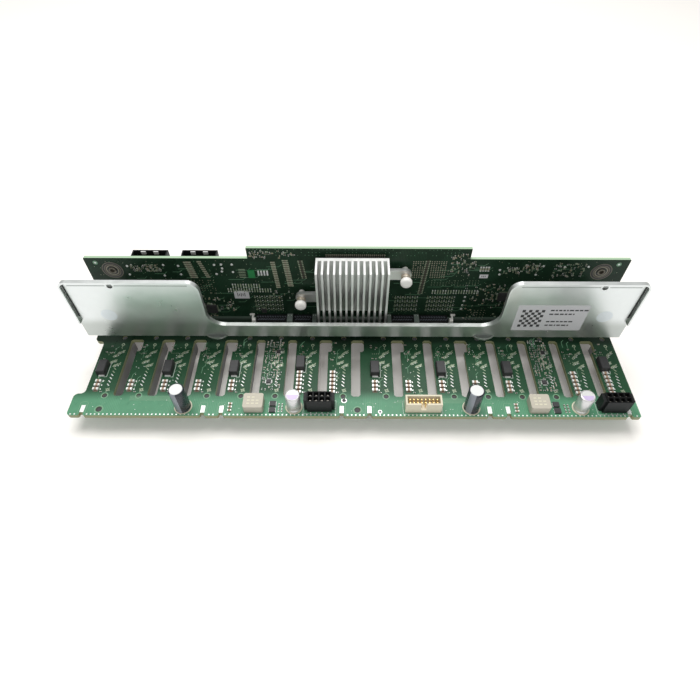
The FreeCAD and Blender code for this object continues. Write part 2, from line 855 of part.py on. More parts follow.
def joint_windows(name, x, front, low, high):
    """Shallow windows of a housing's front, with bars between them."""
    width = "((joint_length - joint_bars * joint_wall) / (joint_bars - 1))"
    deep = (f"{front} - {margin}", f"{front} + joint_wall")
    found = []
    for index in range(int(sizes["joint_bars"]) - 1):
        start = f"({x} - joint_length / 2 + joint_wall + {index} * ({width} + joint_wall))"
        found.append(block(f"{name}_window_{index}", (start, f"{start} + {width}"), deep, (low, high)))
    return found


# ---- headers of the near edge ----

def make_power_header(name):
    label = f"power_header_{name}"
    x = f"power_{name}"
    y = (depth("power_near"), depth("power_near + power_depth"))
    half = "(power_cells * cell_pitch / 2 + (cell_pitch - cell_side) / 2)"
    top = above("power_height")
    solids = [block(label + "_core", (f"{x} - {half}", f"{x} + {half}"), y, (deck, top))]
    lug_y = (depth("power_near + lug_setback"), depth("power_near + power_depth"))
    for side, reach in (("left", (f"{x} - {half} - lug_width", f"{x} - {half}")),
                        ("right", (f"{x} + {half}", f"{x} + {half} + lug_width"))):
        solids.append(block(f"{label}_lug_{side}", reach, lug_y, (deck, above("lug_height"))))
    cells, pins = [], []
    for column in range(int(sizes["power_cells"])):
        for line in range(2):
            middle = f"({x} + ({column} - (power_cells - 1) / 2) * cell_pitch)"
            row = depth(f"(power_near + power_depth / 2 + ({line} - 0.5) * cell_pitch)")
            floor = f"{top} - cell_deep"
            spot = f"{column}_{line}"
            cells.append(block(f"{label}_cell_{spot}",
                               (f"{middle} - cell_side / 2", f"{middle} + cell_side / 2"),
                               (f"{row} - cell_side / 2", f"{row} + cell_side / 2"),
                               (floor, f"{top} + {margin}")))
            pins.append(block(f"{label}_pin_{spot}",
                              (f"{middle} - power_pin / 2", f"{middle} + power_pin / 2"),
                              (f"{row} - power_pin / 2", f"{row} + power_pin / 2"),
                              (floor, f"{floor} + power_pin_long")))
    part(label, cut(label, fuse(label + "_body", solids), cells))
    return pins


def make_signal_header():
    x = "signal_x"
    across = (f"{x} - signal_width / 2", f"{x} + signal_width / 2")
    y = (depth("signal_near"), depth("signal_near + signal_depth"))
    top = above("signal_height")
    shroud = block("signal_shroud", across, y, (deck, top))
    inside = (above("signal_floor"), f"{top} + {margin}")
    cavity = block("signal_cavity", (f"{across[0]} + signal_wall", f"{across[1]} - signal_wall"),
                   (f"{y[0]} + signal_wall", f"{y[1]} - signal_wall"), inside)
    key = block("signal_keyway", (f"{x} - signal_key / 2", f"{x} + signal_key / 2"),
                (f"{y[0]} - {margin}", f"{y[0]} + signal_wall"), inside)
    part("signal_header", cut("signal_header", shroud, [cavity, key]))
    pins = []
    for column in range(int(sizes["signal_pins"])):
        for line in range(2):
            middle = f"({x} + ({column} - (signal_pins - 1) / 2) * signal_pitch)"
            row = depth(f"(signal_near + signal_depth / 2 + ({line} - 0.5) * signal_pitch)")
            reach = (f"{middle} - signal_pin / 2", f"{middle} + signal_pin / 2")
            pins.append(block(f"signal_pin_{column}_{line}", reach,
                              (f"{row} - signal_pin / 2", f"{row} + signal_pin / 2"),
                              (above("signal_floor"), above("signal_floor + signal_pin_long"))))
    part("signal_pins", group("signal_pins", pins))


# ---- capacitor cans ----

def make_can(kind, name):
    radius, height = f"{kind}_radius", f"{kind}_height"
    part(f"{kind}_capacitor_{name}", turned(f"{kind}_capacitor_{name}", [
        ("0", "0"),
        (radius, "0"),
        (radius, f"{height} - can_round"),
        (f"{radius} - can_round", height),
        ("0", height),
    ], f"{kind}_{name}", depth("can_near"), deck))


# ---- chokes, power chips, strip blocks and ladders of chip capacitors ----

def make_choke(name):
    body = doc.addObject("PartDesign::Body", f"choke_{name}_body")
    sketch = new_sketch(body, f"choke_{name}_outline", offset=deck)
    x = f"choke_{name}"
    draw(sketch, rectangle((f"{x} - choke_width / 2", f"{x} + choke_width / 2"),
                           (depth("choke_near"), depth("choke_near + choke_depth")), "choke_corner"))
    pad(body, sketch, "choke_height", f"choke_{name}_pad")
    part(f"inductor_{name}", body)


def make_regulators():
    chips = []
    for name in ("left", "right"):
        x = f"(choke_{name} + choke_width / 2 + regulator_gap)"
        for index in range(2):
            y = depth(f"(choke_near + {index} * regulator_pitch)")
            chips.append(block(f"regulator_{name}_{index}", (x, f"{x} + regulator_width"),
                               (y, f"{y} + regulator_depth"), (deck, above("regulator_height"))))
    part("regulator_chips", group("regulator_chips", chips))


def make_strip_block(index, number):
    """Moulded block that narrows towards its top."""
    name = f"strip_block_{index:02d}"
    wedge = doc.addObject("Part::Wedge", name)
    x = bay(number)
    start = "far_block_near" if number in long_ladders else "block_near"
    ends = {
        "Xmin": "0", "Xmax": "block_width", "X2min": "block_taper", "X2max": "block_width - block_taper",
        "Ymin": "0", "Ymax": "block_height",
        "Zmin": "0", "Zmax": "block_depth", "Z2min": "block_taper", "Z2max": "block_depth - block_taper",
    }
    for side, words in ends.items():
        bind(wedge, side, words)
    wedge.Placement.Rotation = forward
    place(wedge, f"{x} - block_width / 2", depth(f"{start} + block_depth"), deck)
    part(name, wedge)


def make_ladders():
    rungs = []
    for number in range(1, bays + 1):
        if number in no_ladders:
            continue
        start, count = ("long_chip_near", 6) if number in long_ladders else ("chip_near", 3)
        x = f"({bay(number)} + chip_shift)"
        for index in range(count):
            y = depth(f"({start} + {index} * chip_pitch)")
            rungs.append(block(f"chip_{number}_{index}", (f"{x} - chip_long / 2", f"{x} + chip_long / 2"),
                               (y, f"{y} + chip_wide"), (deck, above("chip_high"))))
    part("bay_capacitors", group("bay_capacitors", rungs))


# ---- the whole assembly ----

make_backplane()
for number in range(1, bays + 1):
    make_drive_connector(number)
make_expander()
make_bracket()
make_spacers()
make_heat_sink()
make_chip()
for side, name in ((-1, "left"), (1, "right")):
    make_pin(side, name)
    make_spring(side, name)
for index, name in enumerate(("left", "right")):
    make_cable_receptacle(index, name)
for name in ("left", "right"):
    make_board_joint(name)
power_pins = make_power_header("left") + make_power_header("right")
part("power_pins", group("power_pins", power_pins))
make_signal_header()
for name in ("left", "right"):
    make_can("bulk", name)
    make_can("polymer", name)
    make_choke(name)
make_regulators()
for index, number in enumerate(block_bays, 1):
    make_strip_block(index, number)
make_ladders()
doc.recompute()

for thing in doc.Objects:
    if "Invalid" in thing.State or "Error" in thing.State:
        raise RuntimeError(f"{thing.Label} did not build: {thing.State}")
for thing in parts:
    if thing.Shape.isNull() or not thing.Shape.isValid():
        raise RuntimeError(f"{thing.Label} has no valid shape")

os.makedirs("parts", exist_ok=True)
for thing in parts:
    thing.Shape.exportStep(f"parts/{thing.Label}.step")
print(len(parts), "sub-parts written")
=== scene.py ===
import bpy
import bmesh
import math
import random
from mathutils import Matrix, Vector


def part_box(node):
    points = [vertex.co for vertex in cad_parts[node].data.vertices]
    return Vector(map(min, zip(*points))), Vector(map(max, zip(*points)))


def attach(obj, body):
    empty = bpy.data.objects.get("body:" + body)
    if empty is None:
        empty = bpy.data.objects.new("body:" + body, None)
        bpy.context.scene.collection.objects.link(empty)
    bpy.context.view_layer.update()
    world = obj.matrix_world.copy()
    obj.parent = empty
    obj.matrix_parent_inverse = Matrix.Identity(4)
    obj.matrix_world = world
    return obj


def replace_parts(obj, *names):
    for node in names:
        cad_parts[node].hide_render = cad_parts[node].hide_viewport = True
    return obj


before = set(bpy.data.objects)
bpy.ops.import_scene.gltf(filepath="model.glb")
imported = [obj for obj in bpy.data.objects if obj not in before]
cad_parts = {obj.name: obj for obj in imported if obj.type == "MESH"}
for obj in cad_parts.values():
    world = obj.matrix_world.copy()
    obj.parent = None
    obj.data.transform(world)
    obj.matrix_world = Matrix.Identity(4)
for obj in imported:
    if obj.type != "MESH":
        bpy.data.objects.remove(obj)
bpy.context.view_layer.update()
mm = 0.001
dice = random.Random(26)   # one seeded source for every small scatter

# places that every piece is set out from, in millimetres


def edges(node):
    low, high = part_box(node)
    return [v / mm for v in low], [v / mm for v in high]


def middle(low, high):
    return (low[0] + high[0]) / 2, (low[1] + high[1]) / 2


boardLow, boardHigh = edges("backplane_board")
cardLow, cardHigh = edges("expander_board")
steelLow, steelHigh = edges("bracket")
deck, nearEdge = boardHigh[2], boardLow[1]
steelMiddle = 1.5   # the bracket's holes and the expander are centred this far right of the backplane
bayShift = 2.2   # a drive connector stands this far right of its bay's middle
driveNodes = [f"drive_connector_{number:02d}" for number in range(1, 17)]
bayX = [middle(*edges(node))[0] - bayShift for node in driveNodes]


# each seat turns a place on a face into a place in the room: across, along, and out of the face
def onDeck(a, b, c):
    return a * mm, (nearEdge + b) * mm, (deck + c) * mm


def onCard(a, b, c):
    return a * mm, (cardLow[1] - c) * mm, (deck + b) * mm


def behindCard(a, b, c):
    return a * mm, (cardHigh[1] + c) * mm, (deck + b) * mm


def overDeck(a, b, c):   # along is the room's own, height is from the deck
    return a * mm, b * mm, (deck + c) * mm


def fromNear(a, b, c):   # along is from the near edge, height is from the floor
    return a * mm, (nearEdge + b) * mm, c * mm


def inRoom(a, b, c):
    return a * mm, b * mm, c * mm


sheetFront = steelHigh[1] - 1   # front face of the bracket's sheet, behind its lip


def onSteel(a, b, c):
    return a * mm, (sheetFront - c) * mm, (deck + b) * mm


# finishes

def addNode(tree, kind, **values):
    node = tree.nodes.new(kind)
    for key, value in values.items():
        if key in node.inputs:
            node.inputs[key].default_value = value
        else:
            setattr(node, key, value)
    return node


def newFinish(name, color, roughness=0.5, metallic=0.0, spread=0.12, grain=900, bump=0.05, **sockets):
    # a shader with fine mottling in colour, gloss and height
    finish = bpy.data.materials.new(name)
    finish.use_nodes = True
    tree = finish.node_tree
    shader = tree.nodes["Principled BSDF"]
    shader.inputs["Metallic"].default_value = metallic
    for key, value in sockets.items():
        shader.inputs[key].default_value = value
    place = addNode(tree, "ShaderNodeTexCoord")
    noise = addNode(tree, "ShaderNodeTexNoise", Scale=grain, Detail=4.0)
    tree.links.new(place.outputs["Object"], noise.inputs["Vector"])
    tint = addNode(tree, "ShaderNodeMix", data_type="RGBA")
    tint.inputs[6].default_value = (*[v * (1 - spread) for v in color], 1)
    tint.inputs[7].default_value = (*[min(1, v * (1 + spread)) for v in color], 1)
    tree.links.new(noise.outputs["Fac"], tint.inputs[0])
    tree.links.new(tint.outputs[2], shader.inputs["Base Color"])
    limits = {"To Min": max(0.02, roughness - 0.08), "To Max": min(1, roughness + 0.08)}
    gloss = addNode(tree, "ShaderNodeMapRange", **limits)
    tree.links.new(noise.outputs["Fac"], gloss.inputs["Value"])
    tree.links.new(gloss.outputs["Result"], shader.inputs["Roughness"])
    if bump:
        height = addNode(tree, "ShaderNodeBump", Strength=bump, Distance=0.0001)
        tree.links.new(noise.outputs["Fac"], height.inputs["Height"])
        tree.links.new(height.outputs["Normal"], shader.inputs["Normal"])
    return finish


def addMath(tree, operation, first, second=None):
    # second is a number or another node's output
    node = addNode(tree, "ShaderNodeMath", operation=operation)
    tree.links.new(first, node.inputs[0])
    if isinstance(second, float):
        node.inputs[1].default_value = second
    elif second is not None:
        tree.links.new(second, node.inputs[1])
    return node.outputs[0]


def layColor(finish, amount, color, under=False):
    # lays a colour over the finish as far as the amount says, or under it
    tree = finish.node_tree
    shader = tree.nodes["Principled BSDF"]
    old = shader.inputs["Base Color"].links[0].from_socket
    mix = addNode(tree, "ShaderNodeMix", data_type="RGBA")
    new, kept = (6, 7) if under else (7, 6)
    mix.inputs[new].default_value = (*color, 1)
    tree.links.new(old, mix.inputs[kept])
    tree.links.new(amount, mix.inputs[0])
    tree.links.new(mix.outputs[2], shader.inputs["Base Color"])


def addEdgeColor(finish, edgeColor, axis):
    # the cut edge of a board shows its bare core
    tree = finish.node_tree
    normal = addNode(tree, "ShaderNodeNewGeometry")
    split = addNode(tree, "ShaderNodeSeparateXYZ")
    tree.links.new(normal.outputs["True Normal"], split.inputs[0])
    facing = addMath(tree, "GREATER_THAN", addMath(tree, "ABSOLUTE", split.outputs[axis]), 0.5)
    layColor(finish, facing, edgeColor, under=True)


trackLook = {"patchScale": 90.0, "lineFrom": 0.72, "patchFrom": 0.45}


def addTracks(finish, color, pitch, amount):
    # faint copper tracks under the mask, in patches
    tree = finish.node_tree
    place = addNode(tree, "ShaderNodeTexCoord")
    wave = addNode(tree, "ShaderNodeTexWave", wave_type="BANDS", bands_direction="X", wave_profile="SAW",
                   Scale=0.314 / (pitch * mm))
    patch = addNode(tree, "ShaderNodeTexVoronoi", feature="F1", Scale=trackLook["patchScale"])
    tree.links.new(place.outputs["Object"], wave.inputs["Vector"])
    tree.links.new(place.outputs["Object"], patch.inputs["Vector"])
    thin = addMath(tree, "GREATER_THAN", wave.outputs["Fac"], trackLook["lineFrom"])
    some = addMath(tree, "GREATER_THAN", patch.outputs["Color"], trackLook["patchFrom"])
    layColor(finish, addMath(tree, "MULTIPLY", addMath(tree, "MULTIPLY", thin, some), amount), color)


def addBand(finish, axis, start, end, color, amount):
    # the colour drifts to another one between two places along an axis
    tree = finish.node_tree
    place = addNode(tree, "ShaderNodeTexCoord")
    split = addNode(tree, "ShaderNodeSeparateXYZ")
    tree.links.new(place.outputs["Object"], split.inputs[0])
    limits = {"From Min": start * mm, "From Max": end * mm, "To Max": amount}
    ramp = addNode(tree, "ShaderNodeMapRange", interpolation_type="SMOOTHSTEP", **limits)
    tree.links.new(split.outputs[axis], ramp.inputs["Value"])
    layColor(finish, ramp.outputs["Result"], color)


def addBrush(finish, axis, strength):
    # long fine scratches along an axis
    tree = finish.node_tree
    shader = tree.nodes["Principled BSDF"]
    place = addNode(tree, "ShaderNodeTexCoord")
    stretch = addNode(tree, "ShaderNodeMapping")
    stretch.inputs["Scale"].default_value[axis] = 0.03
    lines = addNode(tree, "ShaderNodeTexNoise", Scale=2600.0, Detail=3.0)
    height = addNode(tree, "ShaderNodeBump", Strength=strength, Distance=0.0001)
    tree.links.new(place.outputs["Object"], stretch.inputs["Vector"])
    tree.links.new(stretch.outputs[0], lines.inputs["Vector"])
    tree.links.new(lines.outputs["Fac"], height.inputs["Height"])
    tree.links.new(height.outputs["Normal"], shader.inputs["Normal"])


softGloss = {"Specular IOR Level": 0.2}
boardLook = {"mask": (0.095, 0.27, 0.155), "track": (0.15, 0.36, 0.22), "core": (0.30, 0.31, 0.17),
             "strip": (0.010, 0.048, 0.018), "stripStart": 8, "stripEnd": 17, "stripAmount": 0.9,
             "far": (0.003, 0.011, 0.005), "farStart": 43, "farEnd": 51, "farAmount": 0.92}
greenMask = newFinish("boardMask", boardLook["mask"], 0.30, grain=300, **softGloss)
addTracks(greenMask, boardLook["track"], 0.9, 0.5)
# painted shade: the mask turns darker behind the near band, over the strips, and nearly black at the far part
# next to the bracket
for zone in ("strip", "far"):
    addBand(greenMask, 1, nearEdge + boardLook[f"{zone}Start"], nearEdge + boardLook[f"{zone}End"],
            boardLook[zone], boardLook[f"{zone}Amount"])
addEdgeColor(greenMask, boardLook["core"], 2)
cardMask = newFinish("cardMask", (0.010, 0.030, 0.015), 0.34, spread=0.25, grain=400, **softGloss)
addTracks(cardMask, (0.028, 0.085, 0.045), 0.8, 0.5)
addEdgeColor(cardMask, (0.40, 0.55, 0.38), 1)
zincPlate = newFinish("zincPlate", (0.86, 0.89, 0.87), 0.31, 0.9, spread=0.05, grain=140, bump=0)
addBrush(zincPlate, 0, 0.08)
# painted shade: the bracket's sheet is drawn darker towards its bottom
addBand(zincPlate, 2, deck + 24, deck + 16.5, (0.50, 0.53, 0.49), 0.75)
bareAluminium = newFinish("bareAluminium", (0.86, 0.86, 0.84), 0.36, 0.85, spread=0.04, grain=500, bump=0)
addBrush(bareAluminium, 2, 0.12)
blackNylon = newFinish("blackNylon", (0.012, 0.013, 0.013), 0.42, spread=0.3, **softGloss)
beigeNylon = newFinish("beigeNylon", (0.72, 0.66, 0.50), 0.5, spread=0.06)
whiteNylon = newFinish("whiteNylon", (0.86, 0.85, 0.80), 0.42, spread=0.04)
brightSolder = newFinish("brightSolder", (0.84, 0.85, 0.82), 0.32, 0.45, spread=0.06)
dullSolder = newFinish("dullSolder", (0.36, 0.43, 0.30), 0.42, 0.25, spread=0.2)
goldPlate = newFinish("goldPlate", (0.85, 0.60, 0.25), 0.28, 0.85, spread=0.08)
springSteel = newFinish("springSteel", (0.66, 0.58, 0.46), 0.32, 0.8, spread=0.08)
ringBrass = newFinish("ringBrass", (0.10, 0.09, 0.07), 0.42, 0.4, spread=0.18)
ringPale = newFinish("ringPale", (0.17, 0.155, 0.12), 0.40, 0.4)
silkInk = newFinish("silkInk", (0.66, 0.72, 0.66), 0.6, spread=0.08)
paleTrack = newFinish("paleTrack", (0.16, 0.34, 0.20), 0.4, spread=0.15)
tanArray = newFinish("tanArray", (0.34, 0.32, 0.24), 0.45, 0.15, spread=0.2)
chipBlackAndShade = newFinish("chipBlackAndShade", (0.030, 0.030, 0.031), 0.5, spread=0.3)
chipBeige = newFinish("chipBeige", (0.38, 0.26, 0.18), 0.5, spread=0.15)
chipBrownAndShade = newFinish("chipBrownAndShade", (0.14, 0.10, 0.07), 0.5, spread=0.25)
chokeGrey = newFinish("chokeGrey", (0.50, 0.465, 0.38), 0.55, 0.1, spread=0.08, grain=1600, bump=0.3)
sleeveBlack = newFinish("sleeveBlack", (0.020, 0.024, 0.032), 0.28, spread=0.2)
sleeveStripe = newFinish("sleeveStripe", (0.25, 0.27, 0.30), 0.32, spread=0.08)
canTop = newFinish("canTop", (0.68, 0.69, 0.67), 0.42, 0.2, spread=0.03)
canSide = newFinish("canSide", (0.78, 0.77, 0.76), 0.3, 0.7, spread=0.05)
canLilac = newFinish("canLilac", (0.60, 0.50, 0.72), 0.4, 0.1, spread=0.08)
rubberBase = newFinish("rubberBase", (0.66, 0.63, 0.48), 0.6, spread=0.08)
labelPaper = newFinish("labelPaper", (0.64, 0.64, 0.65), 0.6, spread=0.03)
inkAndShade = newFinish("inkAndShade", (0.045, 0.045, 0.045), 0.6, spread=0.2)
padGrey = newFinish("padGrey", (0.28, 0.30, 0.32), 0.6)
lampGreen = newFinish("lampGreen", (0.01, 0.19, 0.05), 0.4, spread=0.1)
greyNylon = newFinish("greyNylon", (0.36, 0.35, 0.34), 0.5, spread=0.08)
postGrey = newFinish("postGrey", (0.24, 0.29, 0.26), 0.4, 0.3, spread=0.2)
pinShade = newFinish("pinShade", (0.20, 0.19, 0.17), 0.35, 0.7, spread=0.15)
footShade = newFinish("footShade", (0.16, 0.18, 0.165), 0.5, 0.5, spread=0.1)
dimpleSheen = newFinish("dimpleSheen", (0.88, 0.93, 0.95), 0.45, 0.7, spread=0.04)
foldShade = newFinish("foldShade", (0.42, 0.45, 0.43), 0.4, 0.8, spread=0.06)
rimGrey = newFinish("rimGrey", (0.10, 0.11, 0.13), 0.4, spread=0.15)

carried = {
    "backplane_board": greenMask, "expander_board": cardMask, "bracket": zincPlate,
    "bracket_spacers": zincPlate, "heat_sink": bareAluminium, "expander_chip": chipBlackAndShade,
    "thermal_pad": padGrey,
    "power_header_left": blackNylon, "power_header_right": blackNylon, "power_pins": pinShade,
    "signal_header": beigeNylon, "signal_pins": goldPlate, "inductor_left": chokeGrey,
    "inductor_right": chokeGrey, "regulator_chips": chipBlackAndShade,
}
for node in driveNodes:
    carried[node] = greyNylon
for node, finish in carried.items():
    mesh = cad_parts[node].data
    mesh.materials.clear()
    mesh.materials.append(finish)
print("finishes set on", len(carried), "carried pieces")


# tools for small parts

def toPiece(name, spots, faces, kinds, finishes, smooth=False):
    # spots in metres; a face's kind is its place in the list of finishes
    mesh = bpy.data.meshes.new(name)
    mesh.from_pydata(spots, [], faces)
    for finish in finishes:
        mesh.materials.append(finish)
    mesh.polygons.foreach_set("material_index", kinds)
    shape = bmesh.new()
    shape.from_mesh(mesh)
    bmesh.ops.recalc_face_normals(shape, faces=shape.faces)
    shape.to_mesh(mesh)
    shape.free()
    if smooth:
        mesh.polygons.foreach_set("use_smooth", [len(face.vertices) == 4 for face in mesh.polygons])
    piece = bpy.data.objects.new(name, mesh)
    bpy.context.scene.collection.objects.link(piece)
    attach(piece, "root")
    print(name, len(mesh.polygons), "faces")
    return piece


class Heap:
    # many small solids on one face, kept as a single mesh
    def __init__(self, name, seat):
        self.name, self.seat = name, seat
        self.spots, self.faces, self.kinds, self.finishes = [], [], [], []

    def mark(self, finish, count):
        # gives a finish to the next faces
        if finish not in self.finishes:
            self.finishes.append(finish)
        self.kinds += [self.finishes.index(finish)] * count

    def prism(self, outline, low, high, finish, top=None):
        # an outline pushed up between two heights, with its own upper outline where it tapers
        first, count = len(self.spots), len(outline)
        self.spots += [(a, b, low) for a, b in outline] + [(a, b, high) for a, b in (top or outline)]
        self.faces.append([first + i for i in reversed(range(count))])
        self.faces.append([first + count + i for i in range(count)])
        for i in range(count):
            j = (i + 1) % count
            self.faces.append([first + i, first + j, first + count + j, first + count + i])
        self.mark(finish, count + 2)

    def box(self, a, b, wide, deep, low, high, finish, taper=0.0):
        def outline(inset):
            x, y = wide / 2 - inset, deep / 2 - inset
            return [(a - x, b - y), (a + x, b - y), (a + x, b + y), (a - x, b + y)]
        self.prism(outline(0), low, high, finish, outline(taper))

    def disc(self, a, b, radius, low, high, finish, sides=12, taper=0.0, start=0.0):
        def outline(r):
            turns = [start + math.tau * i / sides for i in range(sides)]
            return [(a + r * math.cos(turn), b + r * math.sin(turn)) for turn in turns]
        self.prism(outline(radius), low, high, finish, outline(radius - taper))

    def hoop(self, a, b, outer, inner, low, high, finish, sides=20):
        first = len(self.spots)
        for radius, height in ((inner, low), (outer, low), (outer, high), (inner, high)):
            for i in range(sides):
                turn = math.tau * i / sides
                self.spots.append((a + radius * math.cos(turn), b + radius * math.sin(turn), height))
        for ring in range(4):
            here, there = first + ring * sides, first + (ring + 1) % 4 * sides
            for i in range(sides):
                j = (i + 1) % sides
                self.faces.append([here + i, here + j, there + j, there + i])
        self.mark(finish, 4 * sides)

    def track(self, points, wide, low, high, finish):
        for (a, b), (c, d) in zip(points, points[1:]):
            length = math.hypot(c - a, d - b) or 1
            x, y = (d - b) / length * wide / 2, (a - c) / length * wide / 2
            self.prism([(a + x, b + y), (c + x, d + y), (c - x, d - y), (a - x, b - y)], low, high, finish)

    def chip(self, a, b, wide, deep, high, body, ends, along=True):
        # ceramic body between two soldered ends; along says that the ends are to the left and right
        length, breadth = (wide, deep) if along else (deep, wide)
        cap, grow = 0.24 * length, 0.04

        def part(shift, size, across, top, finish, taper):
            place = (a + shift, b, size, across) if along else (a, b + shift, across, size)
            self.box(*place, 0, top, finish, taper)
        part(0, length - 2 * cap, breadth, high, body, 0.05)
        for side in (-1, 1):
            part(side * (length - cap) / 2, cap, breadth + grow, high + grow, ends, 0.06)

    def crumb(self, a, b, size, high, bodies, bright=1):
        # a loose part lying either way, its ends bright as often as asked
        along = dice.random() < 0.5
        wide, deep = size if along else size[::-1]
        body = dice.choice(bodies)
        ends = brightSolder if bright == 1 or dice.random() < bright else dullSolder
        self.chip(a, b, wide, deep, high, body, ends, along)

    def legged(self, a, b, size, high, legs, pitch, metal, turns=(0, 1)):
        # black moulded chip with a row of legs on all four sides, or on two
        reach, thick, broad = 0.7, 0.25, pitch * 0.45
        self.box(a, b, size, size, 0.1, high, chipBlackAndShade, 0.12)
        for turn in turns:
            for out in (-(size + reach) / 2, (size + reach) / 2):
                for index in range(legs):
                    step = (index - (legs - 1) / 2) * pitch
                    if turn == 0:
                        self.box(a + step, b + out, broad, reach, 0, thick, metal)
                    else:
                        self.box(a + out, b + step, reach, broad, 0, thick, metal)

    def make(self):
        spots = [self.seat(*spot) for spot in self.spots]
        return toPiece(self.name, spots, self.faces, self.kinds, self.finishes)


def lathe(name, profile, base, axis, finishes, kinds, sides=64):
    # profile is radius and height; axis is the way the height runs; a kind can be a function of the turn
    turn = Vector((0, 0, 1)).rotation_difference(Vector(axis)).to_matrix().to_4x4()
    spots, faces, marks = [], [], []
    for radius, height in profile:
        for i in range(sides):
            angle = math.tau * i / sides
            spot = Vector((radius * math.cos(angle), radius * math.sin(angle), height))
            spots.append(turn @ spot + Vector(base))
    for ring in range(len(profile) - 1):
        for i in range(sides):
            j = (i + 1) % sides
            faces.append([ring * sides + i, ring * sides + j, (ring + 1) * sides + j, (ring + 1) * sides + i])
            kind = kinds[ring]
            marks.append(kind(i / sides) if callable(kind) else kind)
    faces.append([i for i in reversed(range(sides))])
    faces.append([(len(profile) - 1) * sides + i for i in range(sides)])
    marks += [kinds[0], kinds[-1]]
    return toPiece(name, [spot * mm for spot in spots], faces, marks, finishes, smooth=True)


# backplane board: pads, vias and tracks

deckLook = {"notchShift": -2.6, "notchSpan": 62.4, "padSize": (2.1, 4.2), "padAt": 4.1, "dotPitch": 2.1,
            "inkHigh": 0.04, "padHigh": 0.05, "pegRows": (12.3, 52.3),
            "bareHoles": ((-132.4, 4.0), (1.7, 3.9))}
bayLook = {"knots": ((3.0, 41.8, 5, 0.42), (0.7, 39.3, 4, 0.42), (0.4, 35.0, 5, 0.3), (2.9, 32.7, 5, 0.35)),
           "chain": 6, "chainStart": (2.7, 30.0), "chainStep": (0.14, 2.15), "star": (2.7, 16.0)}

notches = []
for group in range(4):
    centre = (bayX[group * 4] + bayX[group * 4 + 3]) / 2 + deckLook["notchShift"]
    half = deckLook["notchSpan"] / 2
    notches += [centre - half, centre + half]

metal = Heap("deckPads", onDeck)
high, ink = deckLook["padHigh"], deckLook["inkHigh"]
for x in notches:
    metal.box(x, deckLook["padAt"], *deckLook["padSize"], 0, high, brightSolder)
    # printed outline round the pad, open towards the edge
    for side in (-1, 1):
        if abs(x + side * 2.6) < 147:   # only where the board reaches
            line = [(x + side * 2.0, 1.2), (x + side * 2.0, 7.4), (x + side * 1.4, 8.2), (x, 8.4)]
            metal.track(line, 0.2, 0, ink, paleTrack)
spot = -146.0
while spot < 146.5:
    if min(abs(spot - x) for x in notches) > 2.3:
        metal.disc(spot, 0.8, 0.42, 0, high, brightSolder, 8)
    spot += deckLook["dotPitch"]
for x in bayX:
    metal.hoop(x + bayShift, deckLook["pegRows"][0], 1.9, 1.4, 0, high, paleTrack, 16)
    for y in deckLook["pegRows"]:   # painted shade: a dark disc over each peg's end in its hole
        metal.disc(x + bayShift, y, 1.17, -0.48, -0.4, chipBlackAndShade, 8, 0, math.pi / 8)
for x, y in ((bayX[0] + 1.7, 3.8), ((bayX[7] + bayX[8]) / 2 - 1.6, 3.8)):
    metal.hoop(x, y, 2.3, 1.7, 0, high, paleTrack, 24)
for x, y, outer in ((-5.1, 9.6, 1.5), (13.6, 2.7, 1.1)):
    metal.hoop(x, y, outer, outer - 0.45, 0, high, brightSolder, 20)
    # painted shade: a black disc fills the ring, standing for the dark hole
    metal.disc(x, y, outer - 0.45, 0, high / 2, chipBlackAndShade, 20)


def knot(x, y, count, lean):
    # a patch of short slanted solder strokes, side by side
    for index in range(count):
        a = x + (index - (count - 1) / 2) * 0.72
        b = y + (index - (count - 1) / 2) * lean + dice.uniform(-0.25, 0.25)
        metal.track([(a - 0.45, b - 0.7), (a + 0.45, b + 0.7)], 0.5, 0, high, dullSolder)
        metal.box(a + 0.3, b - 0.8, 0.55, 0.5, 0, high, brightSolder if index % 2 else dullSolder)


def zigzag(x):
    # a drive connector's soldered pairs: knots at the far half, then a chain down to a star
    metal.hoop(x + 2.6, 47.1, 1.0, 0.62, 0, high, dullSolder, 6)
    metal.track([(x + 2.7, 46.0), (x + 2.3, 45.0), (x + 2.9, 44.0)], 0.3, 0, high, dullSolder)
    for a, y, count, lean in bayLook["knots"]:
        knot(x + a, y, count, lean)
    start, drop = bayLook["chainStart"], bayLook["chainStep"]
    for step in range(bayLook["chain"]):
        y, a = start[1] - step * drop[1], x + start[0] - step * drop[0]
        tone = brightSolder if step > 1 else dullSolder
        metal.track([(a - 0.7, y + 0.55), (a + 0.1, y + 0.1)], 0.4, 0, high, tone)
        metal.track([(a - 0.1, y - 0.1), (a + 0.7, y - 0.55)], 0.4, 0, high, tone)
    side, row = bayLook["star"]
    for turn in range(4):
        angle = math.pi * turn / 4 + 0.3
        reach = 1.35 if turn % 2 else 0.95
        a, b = reach * math.cos(angle), reach * math.sin(angle)
        metal.track([(x + side - a, row - b), (x + side + a, row + b)], 0.42, 0, high, dullSolder)


for index, x in enumerate(bayX):
    zigzag(x)
    for _ in range(14):   # small vias over the strip
        a, b = dice.uniform(-5.8, 0.5), dice.uniform(21, 45)
        metal.disc(x + a, b, 0.26, 0, high, silkInk if dice.random() < 0.5 else dullSolder, 6)
    for step in range(4):   # a short row of vias behind the block
        metal.disc(x - 4.4 + step * 1.15, 41.0, 0.24, 0, high, dullSolder, 6)
    for _ in range(5):   # short tracks between them
        a, b = dice.uniform(-5, 0), dice.uniform(15, 48)
        metal.track([(x + a, b), (x + a, b + 4), (x + a + 1.4, b + 5.4)], 0.2, 0, ink, paleTrack)
for _ in range(150):
    a, b = dice.uniform(-140, 144), dice.uniform(1.6, 10.5)
    metal.disc(a, b, 0.22, 0, high, silkInk if dice.random() < 0.4 else paleTrack, 6)
for step in range(9):   # bundles of tracks behind the near edge
    y = 9.3 + step * 0.35
    metal.track([(-118, y), (-98, y), (-96, y - 1)], 0.14, 0, ink, paleTrack)
    metal.track([(20 + step, y - 1), (60, y - 1), (62, y + 1)], 0.14, 0, ink, paleTrack)
